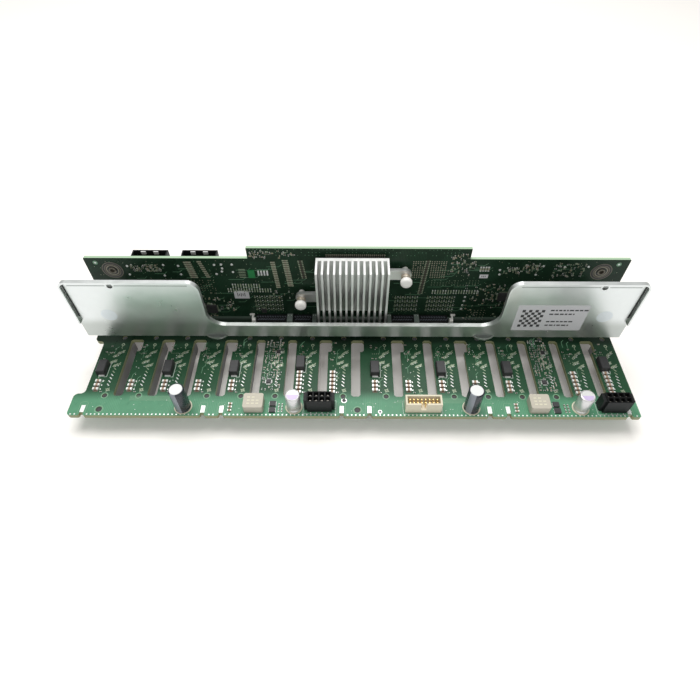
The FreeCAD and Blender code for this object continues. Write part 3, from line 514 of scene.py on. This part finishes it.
for x, y in deckLook["bareHoles"]:   # painted shade: a dark disc inside each locating hole
    metal.disc(x, y, 1.5, -0.5, -0.4, chipBlackAndShade, 20)
metal.make()

# ladders of chip capacitors, set on the solids they stand for

ladderLook = {"end": 0.3, "chipTop": 0.05}


def islands(node):
    # boxes of the separate solids of a node, in millimetres
    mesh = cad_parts[node].data
    group = list(range(len(mesh.vertices)))

    def root(i):
        while group[i] != i:
            group[i] = group[group[i]]
            i = group[i]
        return i
    seen = {}
    for vertex in mesh.vertices:
        key = tuple(round(v, 7) for v in vertex.co)
        if key in seen:
            group[root(vertex.index)] = root(seen[key])
        seen[key] = vertex.index
    for edge in mesh.edges:
        group[root(edge.vertices[0])] = root(edge.vertices[1])
    boxes = {}
    for vertex in mesh.vertices:
        boxes.setdefault(root(vertex.index), []).append(vertex.co / mm)
    return [([min(c[i] for c in spots) for i in range(3)], [max(c[i] for c in spots) for i in range(3)])
            for spots in boxes.values()]


ladders = Heap("chipLadders", onDeck)
for low, high in islands("bay_capacitors"):
    wide, deep, tall = high[0] - low[0], high[1] - low[1], high[2] - low[2]
    x, y = (low[0] + high[0]) / 2, (low[1] + high[1]) / 2 - nearEdge
    cap = ladderLook["end"] * wide
    ladders.box(x, y, wide - 2 * cap, deep, 0, tall - 0.03, chipBeige, ladderLook["chipTop"])
    ladders.box(x, y - deep / 2 - 0.35, wide * 0.86, 0.6, 0, 0.05, chipBrownAndShade)   # painted shade: a dark strip in front of it
    for side in (-1, 1):
        ladders.box(x + side * (wide - cap) / 2, y, cap, deep, 0, tall, brightSolder, ladderLook["chipTop"])
    ladders.box(x + wide / 2 + 0.75, y + 0.2, 0.5, 0.8, 0, 0.06, brightSolder)
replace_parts(ladders.make(), "bay_capacitors")

# small parts of the backplane

partsLook = {"denseBays": (5, 13), "rows": 22, "columns": 6, "pitch": (1.75, 1.62), "empty": 0.30,
             "stacks": (-62.4, 86.5), "loose": (-37.8, 111.0)}
small = Heap("deckParts", onDeck)
for index in partsLook["denseBays"]:
    x = bayX[index]
    small.legged(x - 2.0, 21.6, 2.6, 0.9, 4, 0.6, brightSolder)
    small.legged(x + 1.6, 42.0, 2.2, 0.9, 3, 0.6, brightSolder)
    for row in range(partsLook["rows"]):
        for column in range(partsLook["columns"]):
            if dice.random() < partsLook["empty"]:
                continue
            a = x - 5.0 + column * partsLook["pitch"][0] + dice.uniform(-0.3, 0.3)
            b = 16.5 + row * partsLook["pitch"][1] + dice.uniform(-0.3, 0.3)
            if abs(a - x + 2.0) < 2.4 and abs(b - 21.6) < 2.4:   # the larger chip stands there
                continue
            small.crumb(a, b, (1.1, 0.6), 0.35, (chipBeige, chipBrownAndShade, chipBlackAndShade))
for x0 in partsLook["stacks"]:   # the short three-rung stack beside each choke
    for step in range(3):
        small.chip(x0 - 2.0, 3.2 + step * 2.0, 2.1, 1.1, 0.8, chipBeige, brightSolder)
for x0 in partsLook["loose"]:   # loose chips between the power chips and the can
    for step in range(3):
        for column in range(2):
            a, b = x0 - 1.2 + column * 1.7, 3.0 + step * 1.9
            small.chip(a, b, 0.7, 1.3, 0.5, chipBrownAndShade, brightSolder, False)
for index, x in enumerate(bayX):
    if index in partsLook["denseBays"]:
        continue
    for _ in range(5):
        a, b = x - dice.uniform(1.0, 5.2), dice.uniform(36.5, 49)
        small.chip(a, b, 1.0, 0.55, 0.35, dice.choice((chipBeige, chipBrownAndShade)), brightSolder)
    small.chip(x - 0.6, 14.6, 1.0, 0.55, 0.35, chipBrownAndShade, brightSolder)
for low, high in islands("regulator_chips"):   # solder at the feet of the power chips
    x, y = (low[0] + high[0]) / 2, (low[1] + high[1]) / 2 - nearEdge
    reach = (high[0] - low[0]) / 2 + 0.12
    for side in (-1, 1):
        for step in (-1, 0, 1):
            small.box(x + side * reach, y + step * 0.9, 0.3, 0.5, 0, 0.35, brightSolder)
small.make()

# moulded power blocks, each over its ladder, with a soldered tab and a printed corner
blockLook = {"shift": -3.4, "back": 0.9, "size": (4.9, 8.4, 3.6), "lip": 0.35, "tab": 3.2}
blocks = Heap("stripBlocks", onDeck)
blockNodes = [f"strip_block_{number:02d}" for number in range(1, 9)]
for node in blockNodes:
    low, high = edges(node)
    x = (low[0] + high[0]) / 2 + blockLook["shift"]
    y = (low[1] + high[1]) / 2 - nearEdge - blockLook["back"]
    wide, deep, tall = blockLook["size"]
    blocks.box(x, y, wide, deep, 0.1, tall - blockLook["lip"], chipBlackAndShade, 0.1)
    blocks.box(x, y, wide - 0.2, deep - 0.2, tall - blockLook["lip"], tall, chipBlackAndShade, 0.3)
    right, near, far = x + wide / 2, y - deep / 2, y + deep / 2
    blocks.box(x + 0.2, near - 0.45, blockLook["tab"], 1.1, 0, 0.5, brightSolder, 0.1)
    blocks.box(x + 0.2, far + 0.3, blockLook["tab"], 0.7, 0, 0.5, brightSolder, 0.1)
    corner = [(right + 0.7, far), (right + 0.6, near - 0.9), (right - 0.6, near - 1.1)]
    blocks.track(corner, 0.22, 0, 0.05, silkInk)
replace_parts(blocks.make(), *blockNodes)

# cans

canLook = {"topInset": 0.86, "shoulder": 0.7, "ring": 0.65, "mark": 0.78, "stripe": 0.13,
           "stripeAt": {"left": 0.70, "right": 0.64},
           "foot": ((0.96, 0), (1, 0.15), (1, 1.1), (0.93, 1.45), (0.93, 1.75), (1, 2.1))}   # radius, height


def roundedCan(name, node, finishes, sideKind, topKind):
    low, high = edges(node)
    x, y = middle(low, high)
    radius, tall = (high[0] - low[0]) / 2, high[2] - low[2]
    inset, bend = canLook["topInset"], canLook["shoulder"]
    profile = [(radius * wide, height) for wide, height in canLook["foot"]] + [(radius, tall - bend)]
    for step in range(1, 7):   # the shoulder rolls over to the disc
        angle = math.pi / 2 * step / 6
        profile.append((radius - bend * (1 - math.cos(angle)), tall - bend + bend * math.sin(angle)))
    profile += [(radius * inset * 0.98, tall - 0.08), (radius * inset * 0.93, tall - 0.1)]
    kinds = [3] + [sideKind] * (len(profile) - 3) + [topKind] * 2
    piece = lathe(name, profile, (x, y, low[2]), (0, 0, 1), finishes, kinds)
    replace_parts(piece, node)
    return x, y - nearEdge, radius


groove = Heap("canGrooves", fromNear)
for side, angle in canLook["stripeAt"].items():
    def sleeve(turn, angle=angle):
        return 1 if abs((turn - angle + 0.5) % 1 - 0.5) < canLook["stripe"] / 2 else 0
    x, y, radius = roundedCan(f"bulkCan_{side}", f"bulk_capacitor_{side}",
                              [sleeveBlack, sleeveStripe, canTop, rubberBase], sleeve, 2)
    groove.hoop(x, y, radius + canLook["ring"], radius + 0.05, deck, deck + 0.3, rubberBase, 40)
    x, y, radius = roundedCan(f"polymerCan_{side}", f"polymer_capacitor_{side}",
                              [canSide, canSide, canTop, rubberBase], 0, 2)
    groove.hoop(x, y, radius + canLook["ring"], radius + 0.05, deck, deck + 0.3, rubberBase, 40)
    top = edges(f"polymer_capacitor_{side}")[1][2]
    reach = radius * canLook["mark"]
    turns = [math.pi * (1 + i / 12) for i in range(13)]   # the coloured half of the top
    groove.prism([(x + reach * math.cos(turn), y + reach * math.sin(turn)) for turn in turns], top - 0.1,
                 top - 0.06, canLilac)
groove.make()
print("cans done")

# power and signal headers: raised rims of the cells and printed frames; dashes on the chokes

headerLook = {"cells": 4, "rows": 2, "pitch": 3.0, "rimWide": 0.22, "ink": 0.18}
rims = Heap("headerRims", inRoom)


def printedFrame(low, high, left, right, front, back):
    x0, x1, y0, y1 = low[0] - left, high[0] + right, low[1] - front, high[1] + back
    outline = [(x0, y0), (x1, y0), (x1, y1), (x0, y1), (x0, y0)]
    rims.track(outline, headerLook["ink"], deck, deck + 0.04, silkInk)


for side in ("left", "right"):
    low, high = edges(f"power_header_{side}")
    (x, y), top = middle(low, high), high[2]
    pitch, cells, rim = headerLook["pitch"], headerLook["cells"], headerLook["rimWide"]
    width, depth = cells * pitch + 0.4, headerLook["rows"] * pitch
    for column in range(cells + 1):
        rims.box(x + (column - cells / 2) * pitch, y, rim, depth, top - 0.02, top, rimGrey)
    for row in range(headerLook["rows"] + 1):
        reach = min((row - 1) * pitch, high[1] - y - 0.12)
        reach = max(reach, low[1] - y + 0.12)
        rims.box(x, y + reach, width, rim, top - 0.02, top, rimGrey)
    for step in range(4):
        rims.disc(x + (step - 1.5) * pitch, low[1] - 0.7, 0.3, deck, deck + 0.25, brightSolder, 10)
    printedFrame(low, high, 0.6, 0.6, 1.2, 0.6)
printedFrame(*edges("signal_header"), 0.9, 0.9, 0.9, 0.9)
for side in ("left", "right"):   # plain dashes pressed in the chokes' tops
    low, high = edges(f"inductor_{side}")
    x, y = middle(low, high)
    for row in range(3):
        for step in range(3 if row else 2):
            rims.box(x - 2.4 + step * 2.3, y + 1.9 - row * 1.9, 1.5, 0.7, high[2], high[2] + 0.03,
                     rubberBase)
rims.make()
print("headers and chokes done")

# expander board, front face

cardLook = {
    "padHigh": 0.05, "ringX": (-129.5, 132.5), "ringZ": 38.8, "cornerX": (-137.0, 140.0), "cornerZ": 44.0,
    "rings": (   # outer and inner radius
        (5.6, 5.2, ringPale), (5.2, 4.4, chipBlackAndShade), (4.4, 4.05, ringPale), (4.05, 3.3, ringBrass),
        (3.3, 2.9, tanArray), (2.9, 2.3, chipBlackAndShade)),
    "resistors": ((-70.0, 24.2, 17), (-67.0, 27.6, 11), (43.9, 23.4, 18)),   # left end, height, how many
    "resistorPitch": 1.47, "resistorSize": (0.62, 2.7),
    "columns": (   # place, height, rows, pitch, width, finish, slant
        (-88.4, 44.6, 9, 1.35, 4.0, tanArray, 0.2), (-82.0, 45.0, 9, 1.35, 2.2, tanArray, 0.35),
        (-43.2, 44.8, 15, 1.3, 2.4, tanArray, 0.1), (-36.6, 46.0, 15, 1.3, 3.2, tanArray, 0.12),
        (-28.6, 45.8, 11, 1.2, 3.0, ringBrass, 0.15), (38.9, 46.0, 20, 1.25, 3.0, ringBrass, -0.1)),
    "pads": (
        (-74.4, 42.7), (-70.7, 43.0), (-65.0, 43.0), (-70.6, 40.3), (-74.3, 36.2), (-71.1, 38.0),
        (-65.2, 37.7), (-120.9, 41.7), (-121.3, 35.7), (-102.6, 34.9), (-101.5, 42.5), (-93.7, 41.9),
        (-93.6, 35.8), (78.0, 39.8), (78.4, 36.6), (100.5, 42.6), (62.8, 19.3), (62.7, 16.0),
        (62.4, 12.6), (62.2, 9.5), (112.0, 42.0), (124.5, 42.3), (98.0, 36.5)),
    "lamp": (-55.4, 36.6, 3.6, 5.4), "slips": ((-63.2, 20.6, 8.4, 6.0), (70.2, 35.2, 4.6, 2.6)),
    "lattices": ((-56.0, 6), (23.6, 5), (41.8, 6)), "latticeTop": 18.4, "latticeRows": 4,
    "latticePitch": (2.75, 3.3),
    "viaFields": (   # from, to, bottom, top, pitch, radius, finish, share left out
        (31.4, 37.6, 34.2, 46.2, 1.25, 0.34, tanArray, 0.1),
        (41.2, 49.0, 34.2, 46.4, 1.25, 0.34, tanArray, 0.1),
        (42.6, 69.0, 28.6, 33.2, 1.6, 0.22, dullSolder, 0.25),
        (-56, 59, 49.6, 53.4, 1.9, 0.2, paleTrack, 0.4), (66.5, 77.0, 0.8, 9.8, 1.9, 0.32, tanArray, 0.2),
        (-92, -77, 24.0, 31.5, 1.5, 0.26, tanArray, 0.35)),
    "scatters": (   # from, to, bottom, top, how many
        (-119, -103.5, 38.0, 42.6, 70), (-55, -31, 47.5, 52.5, 40), (50, 60, 36.0, 51.0, 40),
        (60, 65, 36.0, 46.0, 15), (80, 90, 37.5, 41.4, 26), (90, 99.5, 37.8, 44.4, 34),
        (107, 123, 35.0, 45.0, 50), (-74, -68, 7.5, 16.5, 16), (-92, -76, 3, 22, 60),
        (62, 86, 2, 30, 70), (-48, -34, 16, 24, 12), (66, 76, 14, 20, 8)),
    "chips": ((-82.0, 9.5, 6.0, 1.2, 8), (84.0, 20.0, 6.0, 1.2, 8)),
    "chipPitch": 0.65, "vias": 500, "tracks": 90}
card = Heap("cardParts", onCard)
for x in cardLook["ringX"]:   # plated rings round the fixing holes
    for outer, inner, finish in cardLook["rings"]:
        card.hoop(x, cardLook["ringZ"], outer, inner, 0, 0.1, finish, 40)
    card.hoop(x, cardLook["ringZ"], 2.05, 1.25, -4.4, 0.55, ringPale, 32)   # captive nut through the board
for x in cardLook["cornerX"]:
    card.hoop(x, cardLook["cornerZ"], 1.3, 0.6, 0, 0.06, paleTrack, 24)
    card.disc(x, cardLook["cornerZ"], 0.55, 0, 0.1, brightSolder, 12)


def resistors(x, z, count):
    wide, tall = cardLook["resistorSize"]
    for step in range(count):
        ends = brightSolder if step % 4 < 2 else dullSolder
        card.chip(x + step * cardLook["resistorPitch"], z, wide, tall, 0.4, dullSolder, ends, False)


def column(x, z, rows, pitch, width, body, slant):
    for step in range(rows):
        a, b = x + slant * step, z - step * pitch
        card.box(a, b, width, pitch * 0.52, 0, 0.3, body)
        for side in (1, -1):
            card.box(a + side * width * 0.34, b, width * 0.2, pitch * 0.5, 0, 0.34, dullSolder)


def scatter(x0, x1, z0, z1, count):
    for _ in range(count):
        a, b = dice.uniform(x0, x1), dice.uniform(z0, z1)
        card.crumb(a, b, (1.1, 0.55), 0.35, (chipBeige, chipBrownAndShade, chipBlackAndShade, dullSolder), 0.4)


def viaField(x0, x1, z0, z1, pitch, radius, finish, skip):
    z = z0
    while z <= z1:
        x = x0
        while x <= x1:
            if dice.random() > skip:
                card.disc(x, z, radius, 0, cardLook["padHigh"], finish, 6)
            x += pitch
        z += pitch


for row in cardLook["resistors"]:
    resistors(*row)
for row in cardLook["columns"]:
    column(*row)
for x, z in cardLook["pads"]:
    card.disc(x, z, 0.7, 0, 0.25, brightSolder, 12, 0.15)
for step in range(6):
    card.track([(-62.2, 39.6 - step * 1.15), (-58.6, 39.6 - step * 1.15)], 0.3, 0, 0.06, dullSolder)
card.box(*cardLook["lamp"], 0, 0.6, lampGreen)
for step in range(4):
    card.chip(-51.6 + step * 1.6, 37.2, 0.9, 3.4, 0.4, labelPaper, brightSolder, False)
    card.chip(67.6 + step * 1.4, 40.6, 0.9, 3.2, 0.4, tanArray, brightSolder, False)
for slip in cardLook["slips"]:
    card.box(*slip, 0, 0.08, labelPaper)
for step in range(5):   # plain bars on the two slips of paper
    card.box(-65.4 + step * 1.0, 20.6, 0.45, 2.6 - (step % 2) * 0.9, 0.08, 0.1, inkAndShade)
    if step < 3:
        card.box(69.2 + step * 0.9, 35.2, 0.4, 1.0, 0.08, 0.1, inkAndShade)
across, down = cardLook["latticePitch"]
for x0, count in cardLook["lattices"]:   # above the board connectors
    for i in range(count):
        for j in range(cardLook["latticeRows"]):
            x, z = x0 + i * across, cardLook["latticeTop"] - j * down
            card.hoop(x, z, 0.62, 0.3, 0, 0.08, dullSolder, 8)
            card.box(x, z + 1.25, 0.32, 0.9, 0, 0.08, tanArray)
            card.disc(x + 1.37, z + 0.9, 0.36, 0, 0.2, brightSolder, 8)
            card.box(x + 1.37, z - 0.9, 0.3, 0.9, 0, 0.08, dullSolder)
for field in cardLook["viaFields"]:
    viaField(*field)
for x in range(-14, 16):   # serrated top row of the big chip's decoupling parts
    card.chip(x * 1.05, 49.4, 0.6, 1.6, 0.4, chipBlackAndShade, tanArray, False)
for field in cardLook["scatters"]:
    scatter(*field)
for x, z, size, tall, legs in cardLook["chips"]:
    card.legged(x, z, size, tall, legs, cardLook["chipPitch"], dullSolder)
card.legged(-52.0, 8.0, 3.0, 0.9, 4, cardLook["chipPitch"], dullSolder, (0,))
for _ in range(cardLook["vias"]):
    a, b = dice.uniform(-139, 142), dice.uniform(4, 46)
    card.disc(a, b, 0.2, 0, 0.05, dice.choice((paleTrack, tanArray, dullSolder)), 6)
for _ in range(cardLook["tracks"]):
    a, b = dice.uniform(-120, 120), dice.uniform(6, 44)
    reach = dice.uniform(3, 9)
    card.track([(a, b), (a + reach, b), (a + reach + 1.5, b + 1.5)], 0.16, 0, 0.04, paleTrack)
card.make()
print("expander's front done")

# expander board, rear face

rearLook = {"nutX": 131, "nutZ": 38.8, "balls": (20, 14), "ballPitch": (1.6, 1.7), "loose": 160, "vias": 400,
            "chips": ((90, 22, 9), (112, 30, 6), (-60, 20, 6), (-128, 22, 5), (60, 12, 4)),
            "joints": (-57, 16.9), "pins": 24, "pinPitch": 1.5}
rear = Heap("cardRear", behindCard)
for side in (-1, 1):
    x, z = steelMiddle + side * rearLook["nutX"], rearLook["nutZ"]
    rear.hoop(x, z, 5.6, 2.15, 0, 0.06, brightSolder, 40)
    rear.hoop(x, z, 3.4, 2.08, 0, 1.2, ringPale, 6)
across, up = rearLook["ballPitch"]
for row in range(rearLook["balls"][1]):   # vias under the big chip
    for step in range(rearLook["balls"][0]):
        if dice.random() < 0.75:
            rear.disc(-16 + step * across, 20 + row * up, 0.3, 0, 0.05, tanArray, 8)
for _ in range(rearLook["loose"]):
    a, b = dice.uniform(-60, 60), dice.uniform(8, 46)
    rear.crumb(a, b, (1.1, 0.6), 0.4, (chipBeige, chipBrownAndShade))
for x, z, size in rearLook["chips"]:
    rear.legged(x, z, size, 1.2, int(size / 0.8), 0.8, brightSolder)
for x0 in rearLook["joints"]:   # soldered rows of the board connectors
    for row in range(2):
        for step in range(rearLook["pins"]):
            a, b = x0 + 1.2 + step * rearLook["pinPitch"], 2.8 + row * 3.2
            rear.disc(a, b, 0.38, 0, 0.3, brightSolder, 8, 0.15)
for _ in range(rearLook["vias"]):
    a, b = dice.uniform(-139, 142), dice.uniform(4, 45)
    rear.disc(a, b, 0.22, 0, 0.05, dice.choice((tanArray, ringPale)), 6)
rear.make()

# joints between the two boards: a low header and socket, ribbed on top, with metal posts and end latches
jointLook = {
    "front": 23.2, "back": 29.4, "header": 2.5, "socket": 5.0, "pitch": 1.45,
    "left": {"reach": (-57.0, -20.4), "posts": ((-38.9, -35.4), (-24.2, -21.4)), "latch": -57.9, "out": -1},
    "right": {"reach": (16.9, 55.0), "posts": ((19.4, 22.0), (35.0, 38.2)), "latch": 56.5, "out": 1}}
for side in ("left", "right"):
    joint = Heap(f"boardJoint_{side}", overDeck)
    look = jointLook[side]
    start, end = look["reach"]
    front, back = jointLook["front"], jointLook["back"]
    halfway, depth = (front + back) / 2, back - front
    header, socket = jointLook["header"], jointLook["socket"]
    x, width = (start + end) / 2, end - start
    joint.box(x, halfway, width, depth, 0, header - 0.1, blackNylon)
    joint.box(x, halfway, width - 0.6, depth - 0.5, header - 0.1, socket - 0.3, blackNylon)
    for row, y in enumerate((back - 2.2, front + 2.0)):   # two staggered rows of ribs
        x = start + 1.2 + row * jointLook["pitch"] / 2
        while x < end - 1.0:
            if all(x < low - 0.8 or x > high + 0.8 for low, high in look["posts"]):
                lean = 0.35 if row else -0.35
                outline = [(x - 0.5 - lean, y - 0.5), (x + 0.3 - lean, y - 0.5),
                           (x + 0.5 + lean, y + 0.5), (x - 0.3 + lean, y + 0.5)]
                joint.prism(outline, socket - 0.3, socket, rimGrey)
            x += jointLook["pitch"]
    for low, high in look["posts"]:
        joint.box((low + high) / 2, halfway, high - low, depth, 0.4, socket + 0.3, postGrey, 0.15)
        for step in (-0.25, 0.25):
            joint.box((low + high) / 2 + step * (high - low), halfway + 1.6, 0.5, 0.5,
                      socket + 0.3, socket + 0.4, brightSolder)
    joint.box(look["latch"], front + 1.2, 2.4, 2.8, 0, 5.9, whiteNylon, 0.25)
    joint.box(look["latch"] + look["out"] * 0.9, front + 3.6, 0.9, 3.2, 1.2, 5.4, whiteNylon)
    joint.box(look["latch"] + look["out"] * 1.4, back - 0.7, 2.8, 0.8, 4.6, 5.6, whiteNylon)
    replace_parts(joint.make(), f"board_header_{side}", f"board_socket_{side}")

# bracket: label, pale discs of painted sheen, rimmed holes with painted shade behind them, painted shade
# along the folds, and painted shade on the upper faces of the foot tabs

steelLook = {"label": (86.0, 14.0, 37.7, 19.5), "spyX": 124.3, "spyZ": 46.4, "discX": 132.0, "discZ": 25.0,
             "discSize": 4.2, "foldX": (-146.4, 146.4), "foldLow": 24.0, "foldHigh": 47.5, "foldInner": 84,
             "footMiddle": -1.9, "footX": 74, "foot": (5.9, 2.5), "footFill": (0.96, 0.9),
             "lines": (18, 13, 0, 14, 12)}
sheet = Heap("steelMarks", onSteel)
for side in (-1, 1):
    x, z = steelMiddle + side * steelLook["spyX"], steelLook["spyZ"]
    sheet.hoop(x, z, 2.3, 1.5, 0, 0.25, zincPlate, 40)
    sheet.disc(x, z, 2.3, -1.5, -1.05, inkAndShade, 24)   # painted shade: a dark disc behind the hole
    x = steelMiddle + side * steelLook["discX"]
    # painted sheen: a pale bluish disc stands for the sheen of a round pressed dimple in the sheet
    sheet.disc(x, steelLook["discZ"], steelLook["discSize"], 0, 0.06, dimpleSheen, 40, 0.02)
    x, low, high = steelLook["foldX"][side > 0], steelLook["foldLow"], steelLook["foldHigh"]
    # painted shade: a dark line down the inside of the end lip, and a grey line under the top lip
    sheet.track([(x, low), (x, high)], 1.0, 0, 0.06, inkAndShade)
    inner, z = side * steelLook["foldInner"], high - 1.0
    sheet.track([(x - side * 2, z), (inner, z)], 0.5, 0, 0.05, foldShade)
foot = steelLow[2] - deck + 1
for side in (-1, 1):   # painted shade: a dark upper face on each foot tab, so that its rim catches the light
    x, (chord, reach) = steelLook["footMiddle"] + side * steelLook["footX"], steelLook["foot"]
    spread = (chord ** 2 + reach ** 2) / (2 * reach)
    turn = math.asin(chord / spread)
    arc = [turn * (1 - i / 8) for i in range(17)]
    across, out = steelLook["footFill"]
    outline = [(x + across * spread * math.sin(a), out * (spread * math.cos(a) - spread + reach))
               for a in arc]
    first = len(sheet.spots)
    sheet.prism(outline, foot + 0.05, foot, footShade)
    sheet.spots[first:] = [(a, c, b) for a, b, c in sheet.spots[first:]]   # laid flat
x, z, wide, tall = steelLook["label"]
sheet.box(x + wide / 2, z + tall / 2, wide, tall, 0, 0.08, labelPaper)
for row in range(7):   # a plain even check at its left, and plain dashes beside it
    for step in range(7):
        if (row + step) % 2 == 0:
            sheet.box(x + 3.6 + step * 1.7, z + 3.8 + row * 1.9, 1.7, 1.9, 0.08, 0.1, inkAndShade)
for row, length in enumerate(steelLook["lines"]):
    reach = 0.0
    while reach < length:
        dash = dice.uniform(0.8, 2.4)
        sheet.box(x + 17.5 + reach + dash / 2, z + 15.8 - row * 2.9, dash, 1.0, 0.08, 0.1, inkAndShade)
        reach += dash + 0.6
sheet.make()
print("bracket's marks done")

# push pins and their springs

pinLook = {"wire": 0.3, "coil": 2.2, "turns": 3, "shaft": 1.5, "barb": 2.0, "head": 2.6}
for side in ("left", "right"):
    low, high = edges(f"push_pin_{side}")
    x, z = (low[0] + high[0]) / 2, (low[2] + high[2]) / 2
    reach = high[1] - low[1]
    headRadius = (high[0] - low[0]) / 2
    shaft, head = pinLook["shaft"], pinLook["head"]
    profile = [(headRadius * 0.35, 0), (headRadius * 0.72, 0.12), (headRadius * 0.92, 0.5), (headRadius, 1.0),
               (headRadius, 2.4), (headRadius * 0.96, head), (shaft, head), (shaft, reach - 3.1),
               (pinLook["barb"], reach - 3.0), (1.9, reach - 2.2), (0.9, reach)]
    pin = lathe(f"pushPin_{side}", profile, (x, low[1], z), (0, 1, 0), [whiteNylon], [0] * 11,
                32)
    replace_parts(pin, f"push_pin_{side}")
    low, high = edges(f"pin_spring_{side}")
    wire, coil = pinLook["wire"], pinLook["coil"]
    curve = bpy.data.curves.new(f"pinSpring_{side}", "CURVE")
    curve.dimensions = "3D"
    curve.bevel_depth = wire * mm
    curve.bevel_resolution = 3
    path = curve.splines.new("NURBS")
    steps = 24 * pinLook["turns"]
    path.points.add(steps)
    for index in range(steps + 1):
        angle = math.tau * index / 24
        y = low[1] + wire + (high[1] - low[1] - 2 * wire) * index / steps
        spot = inRoom(x + coil * math.cos(angle), y, z + coil * math.sin(angle))
        path.points[index].co = (*spot, 1)
    path.use_endpoint_u = True
    spring = bpy.data.objects.new(f"pinSpring_{side}", curve)
    bpy.context.scene.collection.objects.link(spring)
    curve.materials.append(springSteel)
    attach(spring, "root")
    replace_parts(spring, f"pin_spring_{side}")
print("pins and springs done")

# cable receptacles behind the expander: thin walls, a tongue, and bright latches on the far wall
sasLook = {"wall": 0.7, "floor": 6, "drop": 1.9, "tongue": 1.4, "pins": 18, "pinPitch": 0.7,
           "latch": 2.5, "latchAt": (-3.7, 3.0)}
for side in ("left", "right"):
    sas = Heap(f"miniSas_{side}", inRoom)
    low, high = edges(f"mini_sas_{side}")
    wall, bottom, top = sasLook["wall"], low[2] + sasLook["floor"], high[2] - sasLook["drop"]
    x, y = middle(low, high)
    width, depth = high[0] - low[0], high[1] - low[1]
    sas.box(x, y, width, depth, low[2], bottom, blackNylon)
    for way in (-1, 1):
        sas.box(x, y + way * (depth - wall) / 2, width, wall, bottom, top, blackNylon)
        sas.box(x + way * (width - wall) / 2, y, wall, depth - 2 * wall, bottom, top, blackNylon)
    sas.box(x, y, width - 5, sasLook["tongue"], bottom, top - 2.5, blackNylon)
    for step in range(sasLook["pins"]):
        for way in (-1, 1):
            a, b = x - 6 + step * sasLook["pinPitch"], y + way * (sasLook["tongue"] / 2 + 0.03)
            sas.box(a, b, 0.35, 0.06, bottom + 1, top - 2.7, goldPlate)
    for place in sasLook["latchAt"]:
        sas.box(x + place, high[1] - wall - 0.35, sasLook["latch"], 0.7, top - 2.0, top - 0.15, brightSolder)
    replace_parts(sas.make(), f"mini_sas_{side}")
print("receptacles done")

# underside: contacts in the drive connectors

contactLook = {"count": 22, "pitch": 1.27, "start": -13.6, "barAt": -5.4, "barHalf": 1.2, "shift": -1.1,
               "size": (0.18, 0.7), "height": (0.6, 4.6)}
under = Heap("driveContacts", inRoom)
for node in driveNodes:
    x, y = middle(*edges(node))
    for step in range(contactLook["count"]):
        b = y + contactLook["start"] + step * contactLook["pitch"]
        if abs(b - y - contactLook["barAt"]) >= contactLook["barHalf"]:   # none on the bar
            under.box(x + contactLook["shift"], b, *contactLook["size"], *contactLook["height"], goldPlate)
under.make()

# floor, light and camera

floorLook = {"size": 8.0, "color": (0.92, 0.92, 0.92), "seen": (0.95, 0.925, 0.885),
             "glow": (1.0, 0.93, 0.86), "lift": 0.09}
bpy.ops.mesh.primitive_plane_add(size=floorLook["size"], location=(0, 0, -0.0002))
floor = bpy.context.object
floor.name = "floor"
paint = bpy.data.materials.new("floorPaint")
paint.use_nodes = True
tree = paint.node_tree
tree.nodes.clear()
out = addNode(tree, "ShaderNodeOutputMaterial")
plain = addNode(tree, "ShaderNodeBsdfDiffuse")
plain.inputs["Color"].default_value = (*floorLook["color"], 1)
warm = addNode(tree, "ShaderNodeBsdfDiffuse")
warm.inputs["Color"].default_value = (*floorLook["seen"], 1)
glow = addNode(tree, "ShaderNodeEmission", Strength=floorLook["lift"], Color=(*floorLook["glow"], 1))
both = addNode(tree, "ShaderNodeAddShader")
seen = addNode(tree, "ShaderNodeLightPath")
pick = addNode(tree, "ShaderNodeMixShader")
for source, target in ((warm.outputs[0], both.inputs[0]), (glow.outputs[0], both.inputs[1]),
                       (seen.outputs["Is Camera Ray"], pick.inputs[0]), (plain.outputs[0], pick.inputs[1]),
                       (both.outputs[0], pick.inputs[2]), (pick.outputs[0], out.inputs["Surface"])):
    tree.links.new(source, target)
floor.data.materials.append(paint)

lightLook = {"world": 0.40, "boxes": (   # name, place, size and power
    ("overhead", (-0.1, 0.30, 1.0), (0.9, 0.6), 9.8),
    ("fill", (0.3, -0.9, 0.9), (1.0, 0.8), 2.7))}
world = bpy.data.worlds.new("studio")
bpy.context.scene.world = world
world.use_nodes = True
backdrop = world.node_tree.nodes["Background"].inputs
backdrop["Color"].default_value = (1, 1, 1, 1)
backdrop["Strength"].default_value = lightLook["world"]


def softBox(name, place, size, power):
    lamp = bpy.data.lights.new(name, "AREA")
    lamp.shape = "RECTANGLE"
    lamp.size, lamp.size_y = size
    lamp.energy = power
    holder = bpy.data.objects.new(name, lamp)
    holder.location = place
    holder.rotation_euler = (-Vector(place)).to_track_quat("-Z", "Y").to_euler()
    bpy.context.scene.collection.objects.link(holder)


for row in lightLook["boxes"]:
    softBox(*row)
print("floor and lights set")

cameraLook = {"place": (-0.00208, -0.1802, 0.2435), "down": 51.1, "roll": 0.209, "lens": 26.97}
lensData = bpy.data.cameras.new("camera")
lensData.lens = cameraLook["lens"]
lensData.sensor_width = 36
lensData.clip_start = 0.01
camera = bpy.data.objects.new("camera", lensData)
tilt = Matrix.Rotation(math.radians(90 - cameraLook["down"]), 4, "X")
roll = Matrix.Rotation(math.radians(cameraLook["roll"]), 4, "Z")
camera.matrix_world = Matrix.Translation(cameraLook["place"]) @ tilt @ roll
bpy.context.scene.collection.objects.link(camera)
bpy.context.scene.camera = camera
bpy.context.scene.view_settings.view_transform = "Standard"

print("pieces made; rendering follows")
